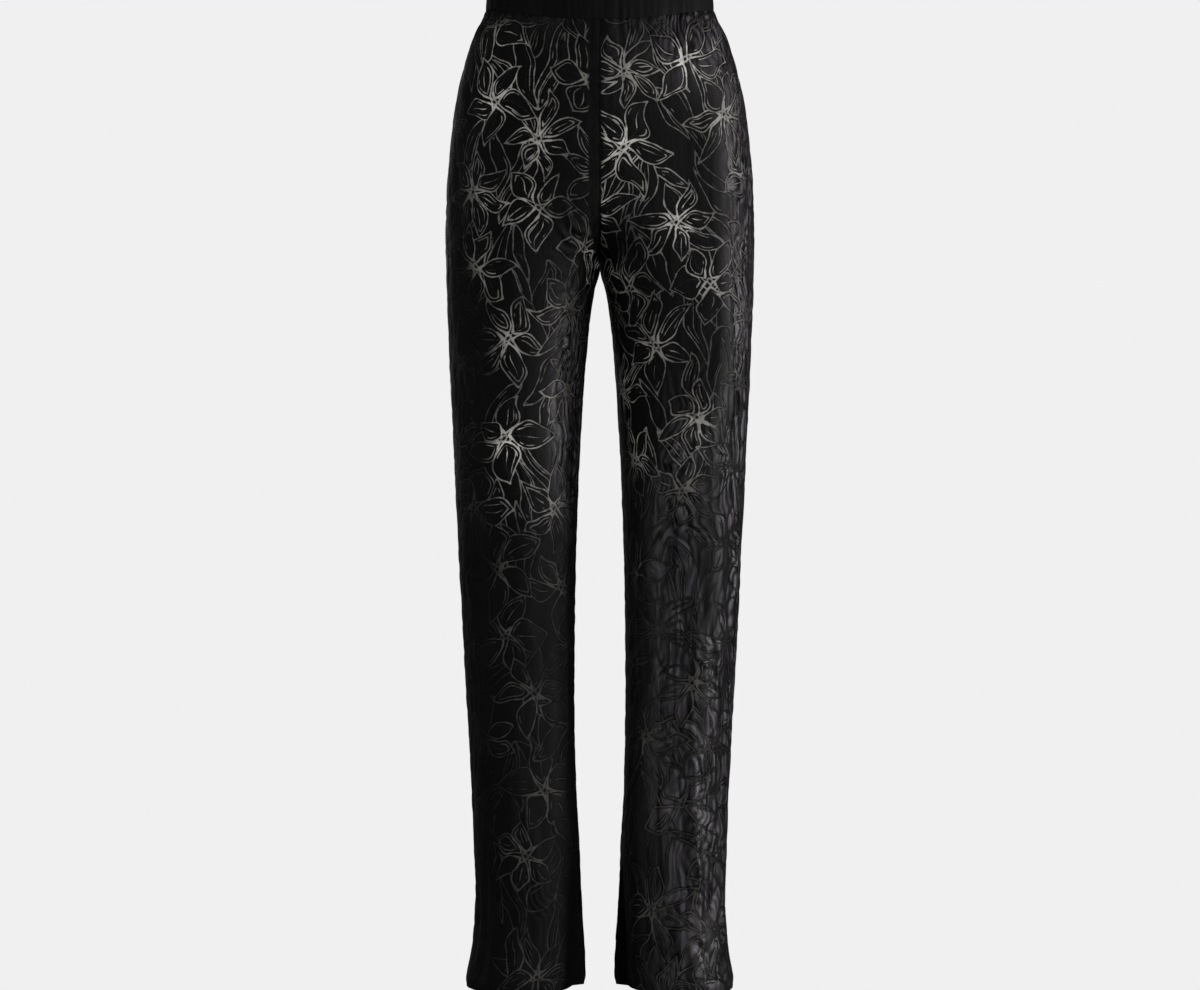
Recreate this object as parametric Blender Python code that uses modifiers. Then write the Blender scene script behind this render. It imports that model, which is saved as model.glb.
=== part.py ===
"""Black satin pyjama trousers, filled out as if worn, with nobody inside.

Five sewn pieces: a front and a back for each leg, and a gathered waistband over elastic.  Each piece is an
open surface moved to the garment's outer form, and a Solidify modifier gives it its wall, inwards.
Metres, +Z up.  The wearer would face -Y, so the wearer's right leg lies at -X.  The origin is the centre of
the waistband, half way up it, where the body holds the trousers.
"""
import math

import bmesh
import bpy
import numpy as np

# Driving sizes.
CLOTH = 0.0015  # wall of a leg panel: satin, with its seam turnings and its raised pattern
BAND_WALL = 0.003  # two layers of satin round a soft elastic
SEAM = 0.0003  # gap between two pieces where they are sewn
BAND_HEIGHT = 0.040
CROTCH_DROP = 0.283  # every drop is measured down from the waist seam at the side
HEM_DROP = 1.085
WAIST_DIP = 0.022  # how much lower the waist seam lies at the centre front than at the side
WAIST_RISE = 0.018  # and how much higher at the centre back
LEVEL_DROP = 0.170  # from here down the rows of the cloth lie level again
HEM_DIP = 0.008  # the back hem hangs a little lower than the front one
HEM_DIP_DROP = 0.900  # where that starts
CROTCH_CURVE = {"front": 0.100, "back": 0.135}  # height over which the two legs merge at the centre seam

# How finely the pieces are divided.
COLUMNS = 20  # across a panel, from the centre seam or inseam to the side seam
SEAM_COLUMN = 0.002  # width of the first and last of them, so that a seam's edge stands square to the cloth
ROWS_ABOVE = 6  # from the waist seam to the top of the crotch curve
ROWS_CURVE = 7  # down the crotch curve
CURVE_PACKING = 1.25  # a power over 1 packs these rows towards the crotch
ROWS_BELOW = 18  # down the leg
END_PACKING = 0.07  # packs these rows towards the crotch and the hem
GATHERS = 60
COLUMNS_PER_GATHER = 4
BAND_ROWS = 2
FINE_STEPS = 240  # points of a section before it is divided evenly

# Level sections of the outer surface.  half_width is from the middle of the garment to the side seam, gap
# from the middle to the inner side of the leg, front and back are the furthest points forwards and backwards,
# side is where the side seam lies, fullness is the power of the superellipse (2 is a plain ellipse), and step
# is how far the front panel's inner edge stands away from the back panel's.
SECTION_COLUMNS = ("drop", "half_width", "gap", "front", "back", "side", "fullness", "step")
SECTIONS = (
    (-0.040, 0.1228, 0.0000, -0.087, 0.092, 0.003, 2.15, 0.000),  # top of the waistband
    (0.000, 0.1275, 0.0000, -0.090, 0.096, 0.004, 2.15, 0.000),  # waist seam
    (0.031, 0.1419, 0.0000, -0.098, 0.105, 0.006, 2.20, 0.000),
    (0.059, 0.1508, 0.0000, -0.103, 0.113, 0.008, 2.25, 0.000),
    (0.087, 0.1581, 0.0000, -0.106, 0.120, 0.010, 2.30, 0.000),
    (0.115, 0.1631, 0.0000, -0.107, 0.126, 0.011, 2.30, 0.000),
    (0.143, 0.1664, 0.0000, -0.107, 0.130, 0.011, 2.30, 0.000),
    (0.199, 0.1709, 0.0000, -0.106, 0.130, 0.011, 2.25, 0.000),  # hips
    (0.255, 0.1720, 0.0000, -0.104, 0.121, 0.009, 2.20, 0.000),
    (0.283, 0.1715, 0.0000, -0.103, 0.115, 0.007, 2.15, 0.000),  # crotch
    (0.311, 0.1709, 0.0067, -0.102, 0.110, 0.006, 2.10, 0.000),
    (0.366, 0.1687, 0.0140, -0.099, 0.102, 0.004, 2.05, 0.000),
    (0.422, 0.1664, 0.0184, -0.096, 0.097, 0.003, 2.00, 0.000),
    (0.534, 0.1608, 0.0246, -0.089, 0.091, 0.002, 2.00, 0.000),
    (0.646, 0.1553, 0.0279, -0.084, 0.088, 0.002, 2.00, 0.000),  # knees
    (0.757, 0.1491, 0.0290, -0.081, 0.087, 0.002, 2.00, 0.000),
    (0.869, 0.1430, 0.0268, -0.080, 0.085, 0.002, 2.00, 0.000),
    (0.925, 0.1407, 0.0235, -0.081, 0.085, 0.001, 2.00, 0.001),
    (0.981, 0.1387, 0.0212, -0.083, 0.085, 0.001, 2.00, 0.005),  # narrowest, where the flare starts
    (1.037, 0.1419, 0.0179, -0.086, 0.086, 0.000, 2.00, 0.010),
    (1.085, 0.1508, 0.0156, -0.089, 0.088, 0.000, 2.00, 0.013),  # hem
)

# The largest folds, as soft ridges (depth above 0) and troughs (below 0) that run down a panel.  across is
# the share of the panel's width from its inner edge to its side seam, at the fold's top and at its bottom.
FOLD_COLUMNS = ("leg", "face", "across_top", "across_bottom", "top", "bottom", "width", "depth")
FOLDS = (
    ("right", "front", 0.10, 0.16, 0.24, 0.36, 0.034, -0.0035),  # drag lines that start at the crotch
    ("right", "front", 0.22, 0.17, 0.44, 0.98, 0.030, 0.0030),
    ("right", "front", 0.60, 0.42, 0.50, 0.95, 0.042, -0.0030),
    ("right", "front", 0.80, 0.74, 0.90, 1.20, 0.040, -0.0045),
    ("right", "front", 0.36, 0.30, 0.93, 1.20, 0.036, 0.0040),
    ("left", "front", 0.12, 0.20, 0.24, 0.38, 0.036, -0.0035),
    ("left", "front", 0.66, 0.60, 0.52, 1.02, 0.036, 0.0045),
    ("left", "front", 0.52, 0.48, 0.56, 0.96, 0.030, -0.0035),
    ("left", "front", 0.84, 0.72, 0.88, 1.20, 0.044, 0.0050),
    ("left", "front", 0.34, 0.38, 0.92, 1.20, 0.040, -0.0040),
    ("right", "back", 0.16, 0.26, 0.26, 0.46, 0.044, -0.0050),  # under the seat
    ("right", "back", 0.50, 0.56, 0.40, 0.84, 0.044, 0.0040),
    ("right", "back", 0.32, 0.30, 0.60, 1.02, 0.038, -0.0040),
    ("right", "back", 0.70, 0.64, 0.88, 1.20, 0.044, 0.0050),
    ("left", "back", 0.18, 0.30, 0.26, 0.50, 0.042, -0.0050),
    ("left", "back", 0.58, 0.50, 0.44, 0.92, 0.046, 0.0045),
    ("left", "back", 0.28, 0.36, 0.66, 1.00, 0.036, -0.0035),
    ("left", "back", 0.66, 0.74, 0.90, 1.20, 0.042, -0.0045),
)
FOLD_END = 0.07  # length over which a fold rises from the flat cloth
FOLD_SEAM_MARGIN = 0.022  # folds die out this far from a seam
STEP_START = 0.003  # the front panel's inner edge leaves the back panel this far from the inseam
STEP_WIDTH = 0.014  # width of that turn
GATHER_DEPTH = 0.0014
GATHER_EVENNESS = 0.75  # share of a gather's depth that all of them have, and the rest comes and goes
GATHER_SWELLS = {"waves": 7, "shift": 0.5, "lulls": 4}  # how that rest varies round the waistband
GATHER_START = math.pi / 4  # the gathers' wave at the centre back
MIDDLE_GATHER = 0.7  # share of the depth that is left half way up the waistband
BAND_BULGE = 0.0020  # the elastic's casing is fullest half way up

SATIN = {"colour": (0.0052, 0.0048, 0.0054, 1), "roughness": 0.42, "metallic": 0.0}
LEGS = {"right": -1, "left": 1}  # the wearer's legs, and their sides in X
FACES = {"front": -1, "back": 1}


def ease(share):
    """0 to 1 with level ends."""
    share = np.clip(share, 0, 1)
    return share * share * (3 - 2 * share)


def curve_through(places, values, at):
    """A smooth curve through the values that never overshoots between them."""
    steps = np.diff(places)
    slopes = np.diff(values) / steps
    same_way = slopes[:-1] * slopes[1:] > 0
    total = np.where(same_way, slopes[:-1] + slopes[1:], 1)
    middle = np.where(same_way, 2 * slopes[:-1] * slopes[1:] / total, 0)
    tangents = np.concatenate([slopes[:1], middle, slopes[-1:]])
    i = int(np.clip(np.searchsorted(places, at, side="right") - 1, 0, len(steps) - 1))
    t = (at - places[i]) / steps[i]
    from_ends = (1 + 2 * t) * (1 - t) ** 2 * values[i] + t * t * (3 - 2 * t) * values[i + 1]
    from_slopes = steps[i] * (t * (1 - t) ** 2 * tangents[i] - t * t * (1 - t) * tangents[i + 1])
    return from_ends + from_slopes


def section(drop):
    """The sizes of the garment's level section at this drop, by the names of the table's columns."""
    table = np.array(SECTIONS)
    return {name: curve_through(table[:, 0], table[:, i], drop) for i, name in enumerate(SECTION_COLUMNS)}


def height(drop, face, towards_middle):
    """Z of a point: towards_middle is 0 at the side and 1 at the centre front or back."""
    waist = 1 - ease(drop / LEVEL_DROP)
    tilt = -WAIST_DIP * waist if face == "front" else WAIST_RISE * waist
    if face == "back":
        tilt = tilt - HEM_DIP * ease((drop - HEM_DIP_DROP) / (HEM_DROP - HEM_DIP_DROP))
    return -BAND_HEIGHT / 2 - drop + tilt * towards_middle


def lengths_along(points):
    """How far along its polyline each point lies."""
    steps = np.linalg.norm(np.diff(points, axis=0), axis=1)
    return np.concatenate([[0], np.cumsum(steps)])


def points_at(points, places):
    """The points that lie these lengths along a polyline."""
    along = lengths_along(points)
    return np.stack([np.interp(places, along, points[:, axis]) for axis in range(3)], axis=1)


def panel_row(drop, face):
    """Points across the +X leg's panel at this drop, from its inner edge to the side seam.

    Below the crotch the leg is a closed section of its own.  Up the crotch curve its centre slides to the
    middle of the garment, and the plane X = 0 cuts off what passes it, so the cut is the centre seam's curve.
    """
    size = section(drop)
    inner = max(size["gap"], SEAM / 2)
    if drop >= CROTCH_DROP:
        centre = (size["half_width"] + inner) / 2
        start = 0.0
    else:
        rise = min((CROTCH_DROP - drop) / CROTCH_CURVE[face], 1)
        merged = ease(rise)
        centre = size["half_width"] / 2 * (1 - merged)
        share = (centre - inner) / (size["half_width"] - centre)
        start = math.acos(math.copysign(abs(share) ** (size["fullness"] / 2), share))
    reach = size["half_width"] - centre
    angle = np.linspace(start, math.pi, FINE_STEPS + 1)
    power = 2 / size["fullness"]
    x = centre - reach * np.sign(np.cos(angle)) * np.abs(np.cos(angle)) ** power
    outwards = np.abs(np.sin(angle)) ** power
    y = size["side"] + (size[face] - size["side"]) * outwards
    if face == "front" and size["step"] > 0:
        from_seam = np.abs(y - size["side"]) + (angle > math.pi / 2)
        turned = ease((from_seam - STEP_START) / STEP_WIDTH)
        x = x + size["step"] * turned * (1 - ease((x - centre) / reach))
    points = np.stack([x, y, height(drop, face, outwards**2)], axis=1)
    low, high = SEAM / 2, lengths_along(points)[-1] - SEAM / 2
    middle = np.linspace(low + SEAM_COLUMN, high - SEAM_COLUMN, COLUMNS - 1)
    return points_at(points, np.concatenate([[low], middle, [high]]))


def panel_drops(face):
    """The drop of each row, closer together where the crotch curve runs nearly level."""
    above = np.linspace(SEAM, CROTCH_DROP - CROTCH_CURVE[face], ROWS_ABOVE + 1)
    up_curve = np.linspace(0, 1, ROWS_CURVE + 1) ** CURVE_PACKING
    down_curve = CROTCH_DROP - CROTCH_CURVE[face] * up_curve[::-1]
    share = np.linspace(0, 1, ROWS_BELOW + 1)
    packed = share - END_PACKING * np.sin(2 * math.pi * share)
    below = CROTCH_DROP + (HEM_DROP - CROTCH_DROP) * packed
    return np.concatenate([above, down_curve[1:], below[1:]])


def surface_normals(grid):
    """Unit normals of a +X panel's grid, on the side that faces forwards when its seams hang straight."""
    across = np.gradient(grid, axis=1)
    down = np.gradient(grid, axis=0)
    normal = np.cross(down, across)
    return normal / np.maximum(np.linalg.norm(normal, axis=2, keepdims=True), 1e-9)


def fold_heights(grid, drops, leg, face):
    """How far the folds lift or sink each point of a panel's grid."""
    steps = np.linalg.norm(np.diff(grid, axis=1), axis=2)
    along = np.concatenate([np.zeros((len(grid), 1)), np.cumsum(steps, axis=1)], axis=1)
    width = along[:, -1:]
    from_seams = ease(np.minimum(along, width - along) / FOLD_SEAM_MARGIN)
    lift = np.zeros(along.shape)
    for row in FOLDS:
        fold = dict(zip(FOLD_COLUMNS, row))
        if fold["leg"] != leg or fold["face"] != face:
            continue
        down = (drops - fold["top"]) / (fold["bottom"] - fold["top"])
        middle = fold["across_top"] + (fold["across_bottom"] - fold["across_top"]) * down
        ends = ease((drops - fold["top"]) / FOLD_END) * ease((fold["bottom"] - drops) / FOLD_END)
        away = (along - middle[:, None] * width) / (fold["width"] / 2)
        lift += fold["depth"] * ends[:, None] * np.exp(-away * away)
    return lift * from_seams


def satin(name):
    material = bpy.data.materials.new(name)
    material.use_nodes = True
    shader = material.node_tree.nodes["Principled BSDF"]
    shader.inputs["Base Color"].default_value = SATIN["colour"]
    shader.inputs["Roughness"].default_value = SATIN["roughness"]
    shader.inputs["Metallic"].default_value = SATIN["metallic"]
    return material


def add_piece(bm, name, wall, collection):
    """Makes an object of the surface in bm, and gives it its wall inwards."""
    mesh = bpy.data.meshes.new(name)
    bm.to_mesh(mesh)
    bm.free()
    mesh.shade_smooth()
    mesh.materials.append(satin(name + "_satin"))
    piece = bpy.data.objects.new(name, mesh)
    collection.objects.link(piece)
    thick = piece.modifiers.new("wall", "SOLIDIFY")
    thick.thickness = wall
    thick.offset = -1
    thick.use_even_offset = True
    return piece


def add_panel(leg, face, collection):
    drops = panel_drops(face)
    grid = np.array([panel_row(drop, face) for drop in drops])
    normals = surface_normals(grid) * -FACES[face]
    grid = grid + normals * fold_heights(grid, drops, leg, face)[..., None]
    grid[..., 0] *= LEGS[leg]
    bm = bmesh.new()
    rows = len(drops) - 1
    bmesh.ops.create_grid(bm, x_segments=COLUMNS, y_segments=rows, size=1)
    for vertex in bm.verts:
        column = round((vertex.co.x + 1) / 2 * COLUMNS)
        row = round((1 - vertex.co.y) / 2 * rows)
        vertex.co = grid[row, column]
    if (leg == "right") != (face == "back"):
        bmesh.ops.reverse_faces(bm, faces=bm.faces[:])
    return add_piece(bm, f"{face}_{leg}", CLOTH, collection)


def band_ring(drop, columns):
    """Points round the waistband at this drop, at even steps, starting at the centre back."""
    size = section(drop)
    angle = np.linspace(0, 2 * math.pi, 4 * FINE_STEPS + 1)
    power = 2 / size["fullness"]
    outwards = np.abs(np.cos(angle)) ** power
    x = size["half_width"] * np.sign(np.sin(angle)) * np.abs(np.sin(angle)) ** power
    reach = np.where(np.cos(angle) > 0, size["back"], size["front"]) - size["side"]
    y = size["side"] + reach * outwards
    back = height(drop, "back", outwards**2)
    z = np.where(np.cos(angle) > 0, back, height(drop, "front", outwards**2))
    points = np.stack([x, y, z], axis=1)
    return points_at(points, np.arange(columns) / columns * lengths_along(points)[-1])


def add_waistband(collection):
    """A casing whose gathers are deepest at the seam and at the top, where the elastic draws them."""
    columns = GATHERS * COLUMNS_PER_GATHER
    turn = np.arange(columns) / columns * 2 * math.pi
    swell = np.sin(GATHER_SWELLS["waves"] * turn + GATHER_SWELLS["shift"])
    swell *= np.cos(GATHER_SWELLS["lulls"] * turn)
    uneven = GATHER_EVENNESS + (1 - GATHER_EVENNESS) * swell
    wave = np.sin(GATHERS * turn + GATHER_START) * uneven
    rings = []
    for row in range(BAND_ROWS + 1):
        share = row / BAND_ROWS
        ring = band_ring(-SEAM / 2 - (BAND_HEIGHT - SEAM / 2) * share, columns)
        outwards = ring * [1, 1, 0]
        outwards = outwards / np.linalg.norm(outwards, axis=1, keepdims=True)
        gathered = 1 if row in (0, BAND_ROWS) else MIDDLE_GATHER
        out = GATHER_DEPTH * gathered * wave + BAND_BULGE * math.sin(math.pi * share)
        rings.append(ring + outwards * out[:, None])
    bm = bmesh.new()
    bmesh.ops.create_grid(bm, x_segments=columns, y_segments=BAND_ROWS, size=1)
    for vertex in bm.verts:
        column = round((vertex.co.x + 1) / 2 * columns) % columns
        row = round((vertex.co.y + 1) / 2 * BAND_ROWS)
        vertex.co = rings[row][column]
    bmesh.ops.remove_doubles(bm, verts=bm.verts[:], dist=SEAM / 10)
    bmesh.ops.recalc_face_normals(bm, faces=bm.faces[:])
    return add_piece(bm, "waistband", BAND_WALL, collection)


def main():
    for old in list(bpy.data.objects):
        bpy.data.objects.remove(old, do_unlink=True)
    collection = bpy.data.collections.new("pyjama_trousers")
    bpy.context.scene.collection.children.link(collection)
    for leg in LEGS:
        for face in FACES:
            add_panel(leg, face, collection)
    add_waistband(collection)


main()
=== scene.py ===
"""Black satin pyjama trousers with a burnt-out drawing of flowers, filled out as if worn, with nobody inside.

Metres, +Z up.  The wearer would face -Y, so the wearer's right leg lies at -X.  The flowers are laid out in
millimetres on each panel of the cloth: x across from the middle of the leg, y down from the waist seam.
"""
import math

import bmesh
import bpy
import numpy as np
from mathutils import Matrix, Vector


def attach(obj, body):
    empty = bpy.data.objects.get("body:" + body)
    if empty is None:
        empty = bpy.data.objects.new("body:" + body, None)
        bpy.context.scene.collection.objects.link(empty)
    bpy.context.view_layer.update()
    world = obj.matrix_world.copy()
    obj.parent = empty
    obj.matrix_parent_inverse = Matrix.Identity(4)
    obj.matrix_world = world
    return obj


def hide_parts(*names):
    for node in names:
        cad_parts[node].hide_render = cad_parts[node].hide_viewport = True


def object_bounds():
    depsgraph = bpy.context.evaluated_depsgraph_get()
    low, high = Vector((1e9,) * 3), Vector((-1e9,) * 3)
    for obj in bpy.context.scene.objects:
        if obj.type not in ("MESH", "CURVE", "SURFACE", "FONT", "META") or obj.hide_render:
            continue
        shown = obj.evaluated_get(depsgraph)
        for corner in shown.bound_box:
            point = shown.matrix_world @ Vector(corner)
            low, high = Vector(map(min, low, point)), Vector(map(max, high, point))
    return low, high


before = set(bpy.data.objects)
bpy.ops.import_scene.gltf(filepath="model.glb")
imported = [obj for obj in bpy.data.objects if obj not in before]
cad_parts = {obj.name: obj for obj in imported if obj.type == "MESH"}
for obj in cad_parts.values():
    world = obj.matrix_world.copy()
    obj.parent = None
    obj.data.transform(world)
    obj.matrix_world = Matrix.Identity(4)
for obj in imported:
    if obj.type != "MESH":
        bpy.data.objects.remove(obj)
cad_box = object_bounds()
MM = 0.001

# ----------------------------------------------------------------------------------------------------------
# The view and the studio.  The trousers are seen level and from straight in front, through a long lens, on
# a plain pale ground.  A tall light at their left side and one between it and the camera make the sheen.  A
# large soft one behind the camera and a weak one at their right lift the drawing, and one lights the back.
# ----------------------------------------------------------------------------------------------------------
PHOTO_WIDTH = 1200  # pixels
PIXEL = 0.001117  # what one of them spans at the middle of the garment's depth
VIEW_DISTANCE = 3.4
VIEW_HEIGHT = -0.5595
VIEW_END = 100
SENSOR = 36  # mm
GROUND_TONE = (0.871, 0.871, 0.871, 1)  # as the camera sees the ground and the air behind
ROOM_TONE = (0.009, 0.009, 0.010, 1)  # as the cloth sees them
FLOOR_LIT = (0.07, 0.07, 0.07, 1)  # the floor as the lights and the cloth see it
FLOOR_GAP = 0.0005  # from the hem down to the floor
FLOOR_RADIUS = 30
FLOOR_SIDES = 96
LIGHTS = {  # place, what it faces, width, height, watts, colour
    "side": ((2.35, -0.50, -0.50), (0.10, 0, -0.60), 0.8, 2.4, 46, (1, 0.98, 0.99)),
    "near_side": ((2.15, -2.10, -0.2), (0.0, 0, -0.55), 0.7, 1.6, 14, (1, 0.98, 0.99)),
    "front": ((0.0, -4.4, 0.6), (0, 0, -0.5), 5.0, 3.0, 21, (1, 1, 1)),
    "far_side": ((-2.6, -1.2, -0.3), (-0.1, 0, -0.6), 1.4, 2.2, 14, (0.98, 0.99, 1)),
    "back": ((-1.2, 3.6, 0.4), (0, 0, -0.5), 2.4, 2.4, 24, (1, 1, 1)),
}

camera_data = bpy.data.cameras.new("view")
camera_data.sensor_width = SENSOR
camera_data.lens = SENSOR * VIEW_DISTANCE / (PHOTO_WIDTH * PIXEL)
camera_data.clip_end = VIEW_END
camera = bpy.data.objects.new("view", camera_data)
camera.location = (0, -VIEW_DISTANCE, VIEW_HEIGHT)
camera.rotation_euler = (math.pi / 2, 0, 0)
bpy.context.scene.collection.objects.link(camera)
bpy.context.scene.camera = camera
bpy.context.scene.view_settings.view_transform = "Standard"

for name, (place, target, width, height, watts, colour) in LIGHTS.items():
    light_data = bpy.data.lights.new(name, "AREA")
    light_data.shape = "RECTANGLE"
    light_data.size = width
    light_data.size_y = height
    light_data.energy = watts
    light_data.color = colour
    light = bpy.data.objects.new(name, light_data)
    light.location = place
    facing = Vector(target) - light.location
    light.rotation_euler = facing.to_track_quat("-Z", "Y").to_euler()
    bpy.context.scene.collection.objects.link(light)


def paint_backdrop(tree, seen, lit, output):
    """seen and lit are each a shader and its tone: what the camera sees, and what lights the cloth."""
    tree.nodes.clear()
    ray = tree.nodes.new("ShaderNodeLightPath")
    either = tree.nodes.new("ShaderNodeMixShader")
    tree.links.new(ray.outputs["Is Camera Ray"], either.inputs[0])
    for socket, (kind, tone) in zip(either.inputs[1:], (lit, seen)):
        shader = tree.nodes.new(kind)
        shader.inputs["Color"].default_value = tone
        tree.links.new(shader.outputs[0], socket)
    tree.links.new(either.outputs[0], tree.nodes.new(output).inputs["Surface"])


world = bpy.data.worlds.new("studio")
world.use_nodes = True
seen_air, lit_air = ("ShaderNodeBackground", GROUND_TONE), ("ShaderNodeBackground", ROOM_TONE)
paint_backdrop(world.node_tree, seen_air, lit_air, "ShaderNodeOutputWorld")
bpy.context.scene.world = world

floor_form = bmesh.new()
bmesh.ops.create_circle(floor_form, cap_ends=True, segments=FLOOR_SIDES, radius=FLOOR_RADIUS)
bmesh.ops.translate(floor_form, verts=floor_form.verts[:], vec=(0, 0, cad_box[0][2] - FLOOR_GAP))
floor_mesh = bpy.data.meshes.new("floor")
floor_form.to_mesh(floor_mesh)
floor_form.free()
floor = bpy.data.objects.new("floor", floor_mesh)
bpy.context.scene.collection.objects.link(floor)
floor_paint = bpy.data.materials.new("floor_paint")
floor_paint.use_nodes = True
seen_floor, lit_floor = ("ShaderNodeEmission", GROUND_TONE), ("ShaderNodeBsdfDiffuse", FLOOR_LIT)
paint_backdrop(floor_paint.node_tree, seen_floor, lit_floor, "ShaderNodeOutputMaterial")
floor_mesh.materials.append(floor_paint)

# ----------------------------------------------------------------------------------------------------------
# The cut.  Four leg panels, a front and a back for each leg, sewn at the sides, the inseams and the centre.
# Worn, they take the form of these level sections: half_width is from the middle to the side seam, gap from
# the middle to the inner side of the leg, front, back and side are places in Y, fullness is the power of the
# superellipse, and step is how far the front panel's inner edge stands away from the back panel's.
# ----------------------------------------------------------------------------------------------------------
WAIST_TUCK = 0.0016  # how far the panels run up inside the waistband; at every other seam they meet
BAND_HEIGHT = 0.040
CROTCH_DROP = 0.283  # every drop is measured down from the waist seam at the side
HEM_DROP = 1.085
WAIST_DIP = 0.022
WAIST_RISE = 0.018
LEVEL_DROP = 0.170
HEM_DIP = 0.008
HEM_DIP_DROP = 0.900
CROTCH_CURVE = {"front": 0.100, "back": 0.135}
STEP_START = 0.003
STEP_WIDTH = 0.014
SECTION_COLUMNS = ("drop", "half_width", "gap", "front", "back", "side", "fullness", "step")
SECTIONS = (
    (-0.040, 0.1228, 0.0000, -0.087, 0.092, 0.003, 2.15, 0.000),  # top of the waistband
    (0.000, 0.1275, 0.0000, -0.090, 0.096, 0.004, 2.15, 0.000),  # waist seam
    (0.031, 0.1419, 0.0000, -0.098, 0.105, 0.006, 2.20, 0.000),
    (0.059, 0.1508, 0.0000, -0.103, 0.113, 0.008, 2.25, 0.000),
    (0.087, 0.1581, 0.0000, -0.106, 0.120, 0.010, 2.30, 0.000),
    (0.115, 0.1631, 0.0000, -0.107, 0.126, 0.011, 2.30, 0.000),
    (0.143, 0.1664, 0.0000, -0.107, 0.130, 0.011, 2.30, 0.000),
    (0.199, 0.1709, 0.0000, -0.106, 0.130, 0.011, 2.25, 0.000),  # hips
    (0.255, 0.1720, 0.0000, -0.104, 0.121, 0.009, 2.20, 0.000),
    (0.283, 0.1715, 0.0000, -0.103, 0.115, 0.007, 2.15, 0.000),  # crotch
    (0.311, 0.1709, 0.0067, -0.102, 0.110, 0.006, 2.10, 0.000),
    (0.366, 0.1687, 0.0140, -0.099, 0.102, 0.004, 2.05, 0.000),
    (0.422, 0.1664, 0.0184, -0.096, 0.097, 0.003, 2.00, 0.000),
    (0.534, 0.1608, 0.0246, -0.089, 0.091, 0.002, 2.00, 0.000),
    (0.646, 0.1553, 0.0279, -0.084, 0.088, 0.002, 2.00, 0.000),  # knees
    (0.757, 0.1491, 0.0290, -0.081, 0.087, 0.002, 2.00, 0.000),
    (0.869, 0.1430, 0.0268, -0.080, 0.085, 0.002, 2.00, 0.000),
    (0.925, 0.1407, 0.0235, -0.081, 0.085, 0.001, 2.00, 0.001),
    (0.981, 0.1387, 0.0212, -0.083, 0.085, 0.001, 2.00, 0.005),  # narrowest, where the flare starts
    (1.037, 0.1419, 0.0179, -0.086, 0.086, 0.000, 2.00, 0.010),
    (1.085, 0.1508, 0.0156, -0.089, 0.088, 0.000, 2.00, 0.013),  # hem
)
LEGS = {"right": -1, "left": 1}
FACES = {"front": -1, "back": 1}
OUTLINE_STEPS = 480  # points of a section before it is divided into columns
EDGE_COLUMNS = (0.0, 0.0007, 0.0016, 0.0030)  # the cloth's first columns from a seam
COLUMNS = 116
ROWS_ABOVE = 70  # from the waist seam to the top of the crotch curve
ROWS_CURVE = 60
CURVE_PACKING = 1.25
ROWS_BELOW = 290
CREASE_LINE = 0.085  # X of the line down the middle of a leg from which x is measured


def ease(share):
    """0 to 1 with level ends."""
    share = np.clip(share, 0, 1)
    return share * share * (3 - 2 * share)


def curve_through(places, values, at):
    """A smooth curve through the values that never overshoots between them."""
    steps = np.diff(places)
    slopes = np.diff(values) / steps
    same_way = slopes[:-1] * slopes[1:] > 0
    total = np.where(same_way, slopes[:-1] + slopes[1:], 1)
    middle = np.where(same_way, 2 * slopes[:-1] * slopes[1:] / total, 0)
    tangents = np.concatenate([slopes[:1], middle, slopes[-1:]])
    i = np.clip(np.searchsorted(places, at, side="right") - 1, 0, len(steps) - 1)
    t = (at - places[i]) / steps[i]
    from_ends = (1 + 2 * t) * (1 - t) ** 2 * values[i] + t * t * (3 - 2 * t) * values[i + 1]
    from_slopes = steps[i] * (t * (1 - t) ** 2 * tangents[i] - t * t * (1 - t) * tangents[i + 1])
    return from_ends + from_slopes


def section(drop):
    table = np.array(SECTIONS)
    return {name: curve_through(table[:, 0], table[:, i], drop) for i, name in enumerate(SECTION_COLUMNS)}


def height(drop, face, towards_middle):
    """Z of a point: towards_middle is 0 at the side and 1 at the centre front or back."""
    waist = 1 - ease(drop / LEVEL_DROP)
    tilt = -WAIST_DIP * waist if face == "front" else WAIST_RISE * waist
    if face == "back":
        tilt = tilt - HEM_DIP * ease((drop - HEM_DIP_DROP) / (HEM_DROP - HEM_DIP_DROP))
    return -BAND_HEIGHT / 2 - drop + tilt * towards_middle


def rounded(wave, power):
    """A sine or cosine bent towards a superellipse's, with its sign kept."""
    return np.sign(wave) * np.abs(wave) ** power


def lengths_along(points):
    """How far along its polyline each point lies."""
    steps = np.linalg.norm(np.diff(points, axis=0), axis=1)
    return np.concatenate([[0], np.cumsum(steps)])


def outline_half(drop, face):
    """The +X leg's outer line at this drop, from the panel's inner edge to the side seam."""
    size = section(drop)
    inner = size["gap"]
    if drop >= CROTCH_DROP:
        centre = (size["half_width"] + inner) / 2
        start = 0.0
    else:
        merged = ease(min((CROTCH_DROP - drop) / CROTCH_CURVE[face], 1))
        centre = size["half_width"] / 2 * (1 - merged)
        share = (centre - inner) / (size["half_width"] - centre)
        start = math.acos(math.copysign(abs(share) ** (size["fullness"] / 2), share))
    reach = size["half_width"] - centre
    angle = np.linspace(start, math.pi, OUTLINE_STEPS + 1)
    power = 2 / size["fullness"]
    x = centre - reach * rounded(np.cos(angle), power)
    outwards = np.abs(np.sin(angle)) ** power
    y = size["side"] + (size[face] - size["side"]) * outwards
    if face == "front" and size["step"] > 0:
        from_seam = np.abs(y - size["side"]) + (angle > math.pi / 2)
        turned = ease((from_seam - STEP_START) / STEP_WIDTH)
        x = x + size["step"] * turned * (1 - ease((x - centre) / reach))
    return np.stack([x, y, height(drop, face, outwards**2)], axis=1)


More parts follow.
